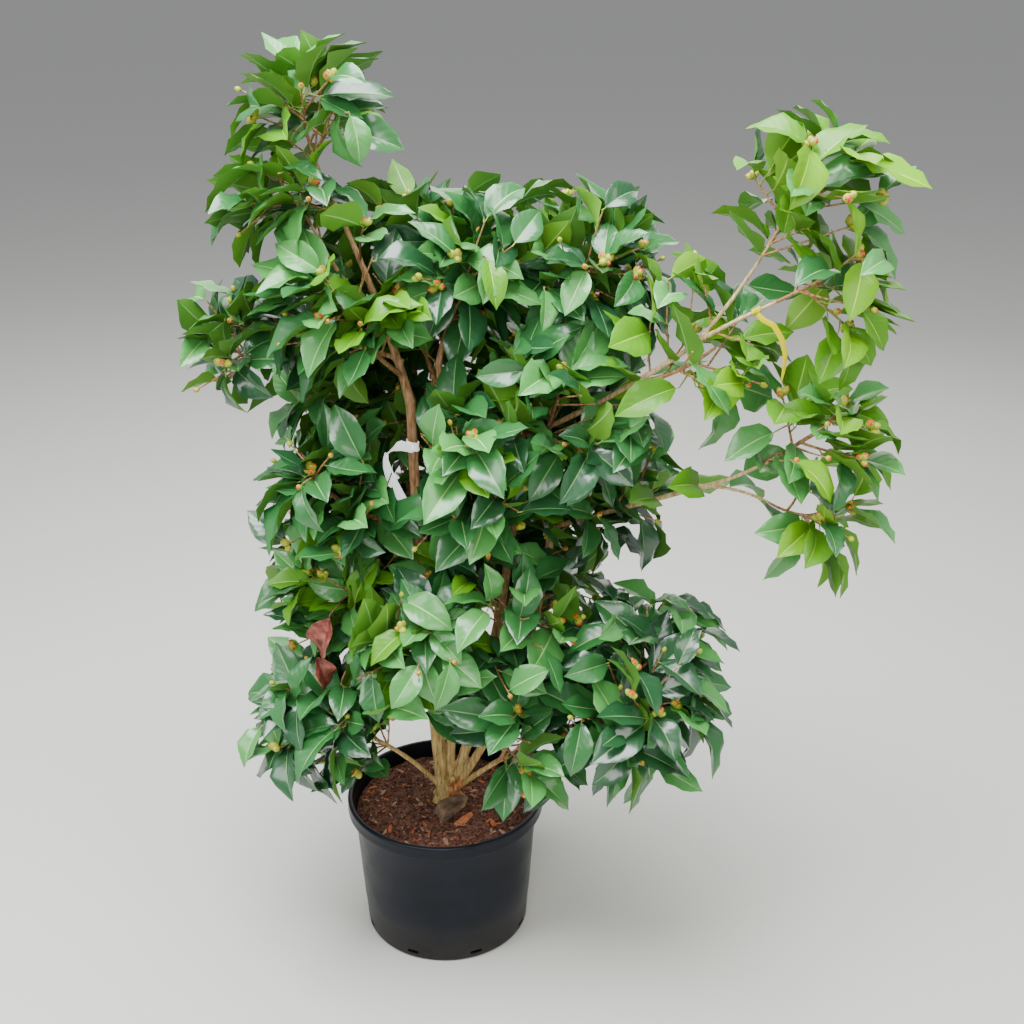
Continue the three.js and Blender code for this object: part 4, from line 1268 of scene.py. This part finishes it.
budForm = dict(length=18, width=13.5, perTip=(2, 5), share=0.4, extraShare=0.05, finerShare=0.24,
               greenShare=0.4, tipped=0.81, ragged=0.09, baseTo=0.22, scaleRise=0.09, scaleRows=3,
               scaleTurns=2.5, twist=1.3, blunt=0.75, plumpFrom=0.04, plumpOver=0.92, tilt=12,
               sideTilt=34, tiltPlay=20, turnPlay=90, lift=0.25, size=(0.7, 0.4),
               extraSize=(0.62, 0.35), extraLift=0.9, lone=0.75, finerLone=0.65)


def modelBud():
    bud = addPrimitive("budShape", bpy.ops.mesh.primitive_uv_sphere_add, segments=10, ring_count=7,
                       radius=0.5)

    def shaped(place, normal):
        share = place.z + 0.5
        angle = math.atan2(place.y, place.x) + share * budForm["twist"]
        full = min(1.0, share * budForm["plumpOver"] + budForm["plumpFrom"])
        plump = math.sin(math.pi * full) ** budForm["blunt"]
        # the scales overlap in a spiral
        lap = (share * budForm["scaleRows"] + angle * budForm["scaleTurns"] / math.pi) % 1
        radius = 0.5 * plump * (1 - budForm["scaleRise"] * lap) if 0.01 < share < 0.99 else 0
        return Vector((math.cos(angle) * radius, math.sin(angle) * radius, share))
    moveVertices(bud, shaped)
    paint(bud, None, None, None)
    for face in bud.data.polygons:
        x, y, z = face.center
        atTip = z + budForm["ragged"] * math.cos(3 * math.atan2(y, x)) > budForm["tipped"]
        face.material_index = 1 if atTip else (2 if z < budForm["baseTo"] else 0)
    return bud


budShape = readShape(modelBud())
budStore = newStore()


def addBud(root, along, size, draws):
    end = root + along * budForm["length"] * size
    tipMark = 0 if draws.random() < budForm["greenShare"] else 1
    if outsideBox(end, boxRoom) or hidesWood((root, end), 1):
        return
    side = unit(np.cross(along, [0.3, 0.5, 0.8]))
    axes = np.array([side, np.cross(along, side), along])
    scale = np.array([budForm["width"], budForm["width"], budForm["length"]]) * size
    addShape(budStore, root + (budShape["vertices"] * scale) @ axes, budShape["faces"],
             [tipMark if mark == 1 else mark for mark in budShape["marks"]])


def budsAt(tip, along, draws):
    count = draws.randint(*budForm["perTip"])
    for i in range(count):
        turn = math.radians(goldenAngle * i + budForm["turnPlay"] * draws.random())
        tilt = budForm["tilt"] + budForm["sideTilt"] * (i > 0) + budForm["tiltPlay"] * draws.random()
        aim = unit(branchHeading(along, math.radians(tilt), turn) + upward * budForm["lift"])
        least, more = budForm["size"]
        addBud(tip - along * 1.5, aim, least + more * draws.random(), draws)


def budShoot(shoot, share, lone, draws):
    # a cluster of buds at the shoot's tip, or one bud where no leaf ends it
    if shoot.get("budded") or draws.random() < share:
        budsAt(shoot["tip"], shoot["along"], draws)
        return 1
    if not shoot["ended"]:
        addBud(shoot["tip"] - shoot["along"] * 2, shoot["along"], lone, draws)
    return 0


budTotal = 0
for mass in masses:
    for shoot in mass["shoots"]:
        budTotal += budShoot(shoot, budForm["share"], budForm["lone"], draws)
        for blade in shoot["blades"]:
            if draws.random() < budForm["extraShare"] and blade["twigEnd"] is not None:
                aim = unit(blade["along"] + upward * budForm["extraLift"])
                least, more = budForm["extraSize"]
                addBud(blade["twigEnd"] - aim, aim, least + more * draws.random(), draws)
    for shoot in mass["finer"]:
        budTotal += budShoot(shoot, budForm["finerShare"], budForm["finerLone"], draws)
print("stage 5: buds on", budTotal, "shoot tips")


# the leaf, twig and bud pieces

foliageNodes = list(massSizes)
for tone, colours in toneColours.items():
    looks = (makeLeafTop(tone + "_upper_side", colours["top"], colours["gloss"]),
             makePlainGreen(tone + "_midrib", colours["rib"], 0.42),
             makePlainGreen(tone + "_underside", colours["under"], 0.58))
    storePiece(tone, leafStores[tone], looks, 48, "foliage", foliageNodes, withMap=True)

storePiece("twigs", twigStore, (makeTwigBark("young_brown_bark", "#7a5330", "#b98e60"),
                                makeTwigBark("green_twig_skin", "#5d6a2c", "#8a9a48")), 60,
           "foliage", foliageNodes)
storePiece("leafStalks", stalkStore, (makePlainGreen("leaf_stalk", "#93a84e", 0.5),), 60,
           "foliage", foliageNodes)
storePiece("flowerBuds", budStore, (makePlainGreen("bud_scales", "#a0a632", 0.42),
                                    makePlainGreen("bud_tip_petals", "#bd4422", 0.38),
                                    makePlainGreen("bud_base_scales", "#7f8c38", 0.5)), 40,
           "foliage", foliageNodes)
print("stage 6: foliage pieces made")


# trunk, stems and boughs, fused and given the bark's relief

woodForm = dict(voxel=2.0, relief=0.4, fineRelief=0.3, crackWidth=7, crackLength=60, crackShare=0.6, lump=18,
                lumpRelief=0.7, lumpLeast=0.35, roughUpTo=700, roughFade=400, collar=0.22,
                collarReach=1.6, uneven=0.05, unevenOver=35, step=14, sunk=12, tipSunk=4)
tornForm = dict(start=(15, 0, -24), past=1.1, end=(6, 0, 0), reach=60, room=13, ragged=9,
                raggedOver=(5, 5, 16))


def limbTube(name, curve, thick, thin, length, into):
    # a bevelled curve; its start is sunk in the parent and widened to a collar
    data = bpy.data.curves.new(name, "CURVE")
    data.dimensions = "3D"
    data.bevel_depth = 1.0
    data.bevel_resolution = 4
    data.use_fill_caps = True
    spline = data.splines.new("POLY")
    count = max(8, int(length / woodForm["step"]))
    spline.points.add(count)
    for i in range(count + 1):
        share = i / count
        place = curve.at(share)
        if i == 0:
            place = place - curve.tangent(0) * into
        radius = thick + (thin - thick) * share
        radius *= 1 + woodForm["collar"] * math.exp(-share * length / (woodForm["collarReach"] * thick))
        radius *= 1 + woodForm["uneven"] * noise.noise(Vector(place) / woodForm["unevenOver"])
        spline.points[i].co = (*(place * mm), 1)
        spline.points[i].radius = radius * mm
    only(newObject(name, data))
    bpy.ops.object.convert(target="MESH")
    return bpy.context.object


def footShape():
    # the clump's foot: lobed and flared at the soil, waisted, and domed between the stems
    rings, swellFrom, swellOver, domeFrom, dome, sunk = 12, 0.3, 0.5, 0.9, 0.72, 4
    profile = []
    for i in range(rings + 1):
        share = i / rings
        flare = (foot["flare"] - foot["waist"]) * (1 - share) ** 4
        swell = (foot["top"] - foot["waist"]) * min(1, max(0, (share - swellFrom) / swellOver))
        radius = (foot["waist"] + flare + swell) * (dome if share > domeFrom else 1)
        profile.append((radius * mm, share * foot["height"] * mm))
    piece = turnedShape("footShape", [(profile[0][0] * 1.02, -sunk * mm)] + profile, 40)
    curve = limbs["trunk"]["curve"]

    def lobed(place, normal):
        share = min(1, max(0, place.z / (foot["height"] * mm)))
        angle = math.atan2(place.y, place.x)
        lobe = 1 + foot["lobeDepth"] * math.cos(foot["lobes"] * angle)
        centre = curve.at(share) * mm
        return Vector((centre[0] + place.x * lobe, centre[1] + place.y * lobe,
                       (mixLevel + gap) * mm + place.z))
    moveVertices(piece, lobed)
    return piece


def barked(place, normal):  # fine cracks and lumps, stronger low down
    p = place / mm
    long = Vector((p.x / woodForm["crackWidth"], p.y / woodForm["crackWidth"],
                   p.z / woodForm["crackLength"]))
    low = max(0.0, min(1.0, (woodForm["roughUpTo"] - p.z) / woodForm["roughFade"]))
    crack = 1 - 2 * abs(noise.noise(long))
    lump = noise.noise(p / woodForm["lump"])
    offset = (woodForm["fineRelief"] + woodForm["relief"] * low) * (crack - 0.5) * woodForm["crackShare"]
    least = woodForm["lumpLeast"]
    offset += woodForm["lumpRelief"] * lump * (least + (1 - least) * low)
    return place + normal * offset * mm


def makeWood():
    pieces = [footShape()]
    for name, size in limbSizes.items():
        into = woodForm["tipSunk" if size["at"] == 1 else "sunk"]
        pieces.append(limbTube(name + "_tube", limbs[name]["curve"], size["thick"], size["thin"],
                               size["length"], into))
    stubStart = limbs["trunk"]["curve"].at(stub["at"]) + heading(stub["bearing"], 0) * stub["inset"]
    aim = heading(stub["bearing"], stub["rise"])
    pieces.append(limbTube("stub_tube", Bend(stubStart, aim, aim, stub["length"]), stub["thick"],
                           stub["thin"], stub["length"], woodForm["tipSunk"]))
    wood = joinPieces(pieces)
    wood.name = wood.data.name = "trunkAndBoughs"
    applyModifier(wood, "REMESH", mode="VOXEL", voxel_size=woodForm["voxel"] * mm)
    applyModifier(wood, "SMOOTH", factor=0.5, iterations=3)
    moveVertices(wood, barked)
    paint(wood, makeBark(), makeTornWood())
    tornStart = stubStart + np.array(tornForm["start"])
    tornEnd = stubStart + aim * stub["length"] * tornForm["past"] + np.array(tornForm["end"])
    span = tornEnd - tornStart
    for face in wood.data.polygons:
        face.use_smooth = True
        place = np.array(face.center) / mm
        if np.linalg.norm(place - tornStart) > tornForm["reach"]:
            continue
        share = min(1, max(0, (place - tornStart).dot(span) / span.dot(span)))
        away = np.linalg.norm(place - tornStart - span * share)
        ragged = tornForm["ragged"] * noise.noise(Vector(place / np.array(tornForm["raggedOver"])))
        face.material_index = 1 if away < tornForm["room"] + ragged else 0
    return wood


wood = makeWood()
handOver(wood, ["trunk"] + list(limbSizes))
print("stage 7: trunk and boughs,", len(wood.data.polygons), "faces")


# the pot

potForm = dict(sides=128, wall=3, floor=4, footBevel=6, lipDrop=24, lipRound=4, lipWidth=9, neck=168,
               foot=150, ledge=66, ledgeOut=0.8, slotCount=8, slotWidth=22, slotHeight=7, slotLevel=14,
               slotDepth=14, slotRound=2.6)


def arc(centreRadius, centreHeight, size, fromDegrees, toDegrees, steps):
    turns = [math.radians(fromDegrees + (toDegrees - fromDegrees) * i / steps) for i in range(steps + 1)]
    return [(centreRadius + size * math.cos(t), centreHeight + size * math.sin(t)) for t in turns]


def potProfile(rim, height, wallRadius):
    # (radius, height) from the foot up the outside, over the rolled lip and down to the floor inside
    form, neckLevel = potForm, height - potForm["lipDrop"]
    lipRound, bevel, ledge, inner = form["lipRound"], form["footBevel"], form["ledge"], form["wall"]
    slots = (form["slotLevel"] - form["slotHeight"], form["slotLevel"] + form["slotHeight"])
    profile = [(form["foot"] - bevel - 12, 2.5), (form["foot"] - bevel - 9, 0)]
    profile += arc(wallRadius(bevel) - bevel, bevel, bevel, -90, 0, 5)
    profile += [(wallRadius(level), level) for level in slots + (ledge - 3,)]
    profile += [(wallRadius(ledge) + form["ledgeOut"], ledge),
                (wallRadius(120) + form["ledgeOut"] * 0.5, 120), (wallRadius(180), 180),
                (wallRadius(neckLevel - 5), neckLevel - 5), (wallRadius(neckLevel) + 1.5, neckLevel - 1)]
    profile += arc(rim - 2.5, neckLevel + 1.5, 2.5, -90, 0, 3)
    profile += [(rim - 0.6, neckLevel + 8), (rim - 0.9, height - 10)]
    profile += arc(rim - lipRound, height - lipRound, lipRound, 0, 90, 5)
    profile += arc(rim - form["lipWidth"] + 2, height - 2, 2, 90, 180, 3)
    profile += [(wallRadius(neckLevel) - inner + 2, height - 12),
                (wallRadius(neckLevel) - inner, neckLevel - 4),
                (wallRadius(form["floor"]) - inner, form["floor"] + 1),
                (wallRadius(form["floor"]) - inner - 3, form["floor"]), (8, form["floor"])]
    return [(radius * mm, level * mm) for radius, level in profile]


def makePot():
    low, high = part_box("pot")
    rim, height, form = (high.y - low.y) / 2 / mm, high.z / mm, potForm
    slope = (form["neck"] - form["foot"]) / (height - form["lipDrop"])

    def wallRadius(level):
        return form["foot"] + slope * level
    pot = turnedShape("potShell", potProfile(rim, height, wallRadius), form["sides"])
    cutters, reach = [], wallRadius(form["slotLevel"]) * mm
    for i in range(form["slotCount"]):
        turn = 2 * math.pi * (i + 0.5) / form["slotCount"]
        cutter = addPrimitive("slotCutter%d" % i, bpy.ops.mesh.primitive_cube_add, size=1,
                              rotation=(0, 0, turn), location=(
                                  reach * math.cos(turn), reach * math.sin(turn), form["slotLevel"] * mm))
        cutter.scale = (form["slotDepth"] * mm, form["slotWidth"] * mm, form["slotHeight"] * mm)
        settle(cutter)
        applyModifier(cutter, "BEVEL", width=form["slotRound"] * mm, segments=3)
        cutters.append(cutter)
    cutter = joinPieces(cutters)
    applyModifier(pot, "BOOLEAN", operation="DIFFERENCE", object=cutter, solver="EXACT")
    bpy.data.objects.remove(cutter)
    smoothByAngle(pot, 35)
    paint(pot, makePotPlastic())
    return pot


pot = makePot()
handOver(pot, ["pot"])
print("stage 8: pot,", len(pot.data.polygons), "faces")


# the potting mix with its crumbs and chips

mixForm = dict(cells=150, radius=163.4, depth=30, relief=4.2, crumbs=1500, crumbSize=(2.0, 6.5),
               chips=210, chipSize=(7, 22), keepFromStem=30, spread=158, edge=163,
               mound=5, moundWidth=60, under=2.5, edgeFrom=140, edgeOver=24, edgeFall=3,
               swells=((0.6, 22, 0), (0.35, 8, 9)), crumbling=(0.2, 3.2, 4), lean=0.5, broad=(0.7, 0.4),
               high=(0.6, 0.3))
crumbForm = dict(rough=0.35, over=1.7)
chipForm = dict(taper=0.45, width=0.42, bow=0.12, thickness=0.13)


def mixHeight(x, y):  # the soil's height in millimetres over its level
    away = math.hypot(x - foot["x"], y - foot["y"])
    mound = mixForm["mound"] * math.exp(-(away / mixForm["moundWidth"]) ** 2) - mixForm["under"]
    edge = max(0.0, (math.hypot(x, y) - mixForm["edgeFrom"]) / mixForm["edgeOver"])
    rough = sum(share * noise.noise(Vector((x, y, layer)) / size)
                for share, size, layer in mixForm["swells"])
    share, size, layer = mixForm["crumbling"]
    rough += share * abs(noise.noise(Vector((x, y, layer)) / size))
    return mound - mixForm["edgeFall"] * edge + mixForm["relief"] * rough


def makeMix():
    bed = addPrimitive("soilBed", bpy.ops.mesh.primitive_grid_add, x_subdivisions=mixForm["cells"],
                       y_subdivisions=mixForm["cells"], size=2)

    def rounded(place, normal):  # the square grid drawn out to a disc
        x = place.x * math.sqrt(1 - place.y ** 2 / 2) * mixForm["radius"]
        y = place.y * math.sqrt(1 - place.x ** 2 / 2) * mixForm["radius"]
        return Vector((x * mm, y * mm, (mixLevel + mixHeight(x, y)) * mm))
    moveVertices(bed, rounded)
    editAll(bed, lambda: extrudeUp(-mixForm["depth"] * mm))
    facesOutward(bed)
    smoothByAngle(bed, 70)
    paint(bed, makePottingMix("potting_mix", "#150b09", "#412720", "#785044", 6))
    return bed


def modelCrumb():
    crumb = addPrimitive("crumbShape", bpy.ops.mesh.primitive_ico_sphere_add, subdivisions=1, radius=1)

    def roughened(place, normal):
        return place * (1 + crumbForm["rough"] * noise.noise(place * crumbForm["over"]))
    moveVertices(crumb, roughened)
    return crumb


def modelChip():  # a flat splinter of bark
    chip = addPrimitive("chipShape", bpy.ops.mesh.primitive_cube_add, size=2)
    editAll(chip, lambda: bpy.ops.mesh.subdivide(number_cuts=1))

    def split(place, normal):
        taper = 1 - chipForm["taper"] * abs(place.x) ** 2
        side = place.y * taper * chipForm["width"] + chipForm["bow"] * place.x ** 2
        return Vector((place.x, side, place.z * chipForm["thickness"] * taper))
    moveVertices(chip, split)
    return chip


def scatter(shape, count, sizes, lift, draws):
    store = newStore()
    for _ in range(count):
        while True:
            turn, away = 2 * math.pi * draws.random(), mixForm["spread"] * math.sqrt(draws.random())
            x, y = away * math.cos(turn), away * math.sin(turn)
            if math.hypot(x - foot["x"], y - foot["y"]) > mixForm["keepFromStem"]:
                break
        size = sizes[0] + (sizes[1] - sizes[0]) * draws.random() ** 2
        size = min(size, mixForm["edge"] - away)
        spin = 2 * math.pi * draws.random()
        lean = turned(upward, heading(360 * draws.random(), 0), mixForm["lean"] * draws.random())
        along = unit(np.cross(lean, heading(math.degrees(spin), 0)))
        axes = np.array([along, np.cross(lean, along), lean])
        stretch = np.array([1] + [least + more * draws.random()
                                  for least, more in (mixForm["broad"], mixForm["high"])])
        centre = np.array([x, y, mixLevel + mixHeight(x, y) + size * lift])
        addShape(store, centre + (shape["vertices"] * stretch * size * 0.5) @ axes, shape["faces"],
                 [draws.randrange(3)] * len(shape["faces"]))
    return store


handOver(makeMix(), ["potting_mix"])
crumbShape, chipShape = readShape(modelCrumb()), readShape(modelChip())
looseParts = {
    "soilCrumbs": dict(shape=crumbShape, count=mixForm["crumbs"], size=mixForm["crumbSize"], lift=0.2,
                       smooth=60, looks=(("dark_crumb", "#1a0f0a", "#3d2318", "#5a3524"),
                                         ("red_crumb", "#2a140f", "#653a2c", "#8d5b48"),
                                         ("tan_crumb", "#33201a", "#6d4b3c", "#9c7868"))),
    "barkChips": dict(shape=chipShape, count=mixForm["chips"], size=mixForm["chipSize"], lift=0.12,
                      smooth=40, looks=(("dark_bark_chip", "#24130c", "#4f2f1e", "#6f4630"),
                                        ("red_bark_chip", "#4a2214", "#9c5232", "#c2754c"),
                                        ("tan_bark_chip", "#4c3226", "#82604c", "#b39078"))),
}
for name, part in looseParts.items():
    storePiece(name, scatter(part["shape"], part["count"], part["size"], part["lift"], draws),
               [makePottingMix(*look) for look in part["looks"]], part["smooth"], "potting_mix",
               ["potting_mix"])
print("stage 9: potting mix, crumbs and chips")


# withered leaves: two hang in the crown, one has fallen at the foot beside a chip of bark


witheredForm = dict(bulge=0.02, wave=0.09, crumple=0.05, creases=6, thickness=0.7)


def witheredLeaf(name, root, along, normal, length, fold, curl, twist, width):
    form = dict(witheredForm, fold=fold, curl=curl, twist=twist, width=width)
    sheet = leafSheet(name, form, leafForm["acrossStops"], lambda share, across: 0)
    root, along, normal = np.array(root, float), np.array(along), np.array(normal)
    along, normal = unit(along), unit(normal - along * normal.dot(along) / along.dot(along))
    side = np.cross(normal, along)
    for vertex in sheet.data.vertices:
        crumple = noise.noise(vertex.co * witheredForm["creases"]) * witheredForm["crumple"]
        spot = vertex.co + Vector((0, 0, crumple))
        vertex.co = Vector((root + (spot.x * along + spot.y * side + spot.z * normal) * length) * mm)
    applyModifier(sheet, "SOLIDIFY", thickness=witheredForm["thickness"] * mm, offset=0)
    applyModifier(sheet, "SUBSURF", levels=1, render_levels=1)
    facesOutward(sheet)
    for face in sheet.data.polygons:
        face.use_smooth = True
    return sheet


def nearestTip(target):
    rows = [(np.linalg.norm(shoot["tip"] - target), shoot["tip"], mass["name"]) for mass in masses
            for shoot in mass["shoots"]]
    return min(rows, key=lambda row: row[0])[1:]


hangTip, hangMass = nearestTip(hangPoint)
deadStalk = newStore()
halfway = (hangTip + hangPoint) / 2 + upward * 10
addTube(deadStalk, [hangTip, halfway, hangPoint, hangPoint - upward * 9], (1.3, 1.2, 1.1, 1.0), 6)
withered = joinPieces([
    witheredLeaf("witheredLeafHanging", hangPoint - upward * 6, (-0.3, -0.1, -1.0), (-0.4, -1.0, 0.1),
                 90, 40, 30, 52, 1.25),
    witheredLeaf("witheredLeafLower", hangPoint + np.array([-24.0, -8.0, -74.0]), (0.3, -0.1, -1.0),
                 (0.5, -1.0, 0.2), 76, 40, 44, -50, 1.1),
    storePiece("deadStalk", deadStalk, (None,), 60)])
withered.name = withered.data.name = "witheredLeaves"
paint(withered, makeWithered("withered_leaf", "#4a1c16", "#8c4236", "#b97868"))
handOver(withered, [hangMass])
fallen = witheredLeaf("fallenLeaf", (42, -26, mixLevel + 26), (-0.8, -0.48, -0.2), (0.1, -0.45, 1.0),
                      94, 20, 40, 26, 0.82)
paint(fallen, makeWithered("fallen_leaf_tissue", "#4a372b", "#7c5d4a", "#ab8a6e"))
handOver(fallen, ["potting_mix"])
largeChip, chipSize = newStore(), np.array([19, 17, 14])
chipAxes = np.array([heading(28, 22), heading(118, 6), unit(heading(200, 60))])
addShape(largeChip, np.array([36.0, -66.0, mixLevel + 5]) + (chipShape["vertices"] * chipSize) @ chipAxes,
         chipShape["faces"])
storePiece("largeBarkChip", largeChip, [makePottingMix("orange_bark_chip", "#7a341c", "#b85e38", "#d98a5c")],
           40, "potting_mix", ["potting_mix"])
print("stage 10: withered leaves, hanging in", hangMass)


# the blank label and the tie

strapBend = dict(offLimb=1.1, wobble=0.07, ripple=0.03, slope=-0.3, inFront=0.8, outBeside=0.05,
                 outBelow=0.24, bow=2, cup=0.08)


def strapPiece(name, node, thickness, material):
    # a band round the limb, and a flat free end that runs out from it in a soft curve
    size, form = strapSizes[node], strapForms[node]
    limb = limbs[size["on"]]
    centre, tangent = limb["curve"].at(size["at"]), limb["curve"].tangent(size["at"])
    radius = limb["thick"] + (limb["thin"] - limb["thick"]) * size["at"]
    radius += strapBend["offLimb"]
    band = addPrimitive(name, bpy.ops.mesh.primitive_circle_add, vertices=40, radius=radius * mm,
                        fill_type="NOTHING")
    settle(band)

    def drawBand():
        for _ in range(4):
            extrudeUp(form["band"] / 4 * mm)
    editAll(band, drawBand)
    turn = Vector((0, 0, 1)).rotation_difference(Vector(tangent))

    def onLimb(place, normal):
        angle = math.atan2(place.y, place.x)
        wobble = 1 + strapBend["wobble"] * math.sin(3 * angle + place.z / mm * 0.5)
        wobble += strapBend["ripple"] * math.sin(7 * angle)
        level = place.z - form["band"] / 2 * mm + strapBend["slope"] * place.x
        spot = Vector((place.x * wobble, place.y * wobble, level))
        return turn @ spot + Vector(centre) * mm
    moveVertices(band, onLimb)
    depth, parts = -radius - strapBend["inFront"], [band]
    for order, path in enumerate(form["ribbons"]):
        ribbon = addPrimitive("%sRibbon%d" % (name, order), bpy.ops.mesh.primitive_grid_add,
                              x_subdivisions=4, y_subdivisions=5 * len(path), size=2)
        rows = np.array(path, float)
        shares = np.linspace(0, 1, len(rows))
        beside, below = np.abs(rows[-1, :2] - rows[0, :2])
        fall = strapBend["outBeside"] * beside + strapBend["outBelow"] * below

        def hanging(place, normal):
            share = (1 - place.y) / 2
            x, z, width, angle = (np.interp(share, shares, rows[:, k]) for k in range(4))
            angle = math.radians(angle)
            x += place.x * width / 2 * math.cos(angle)
            z += place.x * width / 2 * math.sin(angle)
            cupped = strapBend["cup"] * width * (1 - place.x ** 2)
            y = depth - fall * share - strapBend["bow"] * math.sin(share * math.pi) - cupped
            return Vector(centre) * mm + Vector((x, y, z)) * mm
        moveVertices(ribbon, hanging)
        depth -= fall
        parts.append(ribbon)
    piece = joinPieces(parts)
    facesOutward(piece)
    applyModifier(piece, "SUBSURF", levels=1, render_levels=1)
    applyModifier(piece, "SOLIDIFY", thickness=thickness * mm, offset=0)
    smoothByAngle(piece, 40)
    paint(piece, material)
    handOver(piece, [node])


# the label glows strongly and the tie faintly by emission: painted light
strapPiece("plantLabel", "plant_label", 0.8, makeFilm("white_film", "#fbfbff", 0.5, 0.75))
strapPiece("branchTie", "branch_tie", 1.0, makeFilm("yellow_film", "#c6b800", 0.06, 0.03))
print("stage 11: label and tie")


# floor, light and camera

def makeStage():
    floor = addPrimitive("floor", bpy.ops.mesh.primitive_plane_add, size=120)
    settle(floor)
    paint(floor, newMaterial("pale_floor", "#b9b8b3", 0.85)[0])
    world = bpy.context.scene.world or bpy.data.worlds.new("studio")
    bpy.context.scene.world = world
    world.use_nodes = True
    sky = world.node_tree.nodes["Background"].inputs
    sky["Color"].default_value = linear("#e9edf0")
    sky["Strength"].default_value = 0.64


# soft round lights: name, place, the height that they aim at, size, power and colour
softLights = (("roofLight", (-0.3, -0.4, 3.6), 0.8, 2.8, 372, "#fbfdff"),
              ("leftLight", (-2.8, -1.6, 2.6), 0.9, 2.0, 66, "#ffffff"),
              ("rightLight", (2.6, -1.8, 2.2), 0.9, 2.0, 54, "#fbf9f2"),
              ("frontLight", (-0.3, -3.4, 2.5), 0.9, 1.6, 52, "#ffffff"),
              ("backLight", (0.6, 3.0, 2.6), 0.9, 3.0, 50, "#fffbee"))


def addSoftLights():
    for name, place, level, size, power, colour in softLights:
        data = bpy.data.lights.new(name, "AREA")
        data.shape = "DISK"
        data.size, data.energy, data.color = size, power, linear(colour)[:3]
        lamp = newObject(name, data)
        lamp.location = place
        aim = Vector((0, 0, level)) - Vector(place)
        lamp.rotation_euler = aim.to_track_quat("-Z", "Y").to_euler()


def makeCamera():
    # the camera that the photograph's pot rim and foot were fitted with
    data = bpy.data.cameras.new("camera")
    data.lens, data.sensor_width = 49.2, 36
    camera = newObject("camera", data)
    camera.location = viewFrom * mm
    camera.rotation_euler = (math.radians(67.1), 0, 0)
    bpy.context.scene.camera = camera


makeStage()
addSoftLights()
makeCamera()
print("stage 12: floor, light and camera")
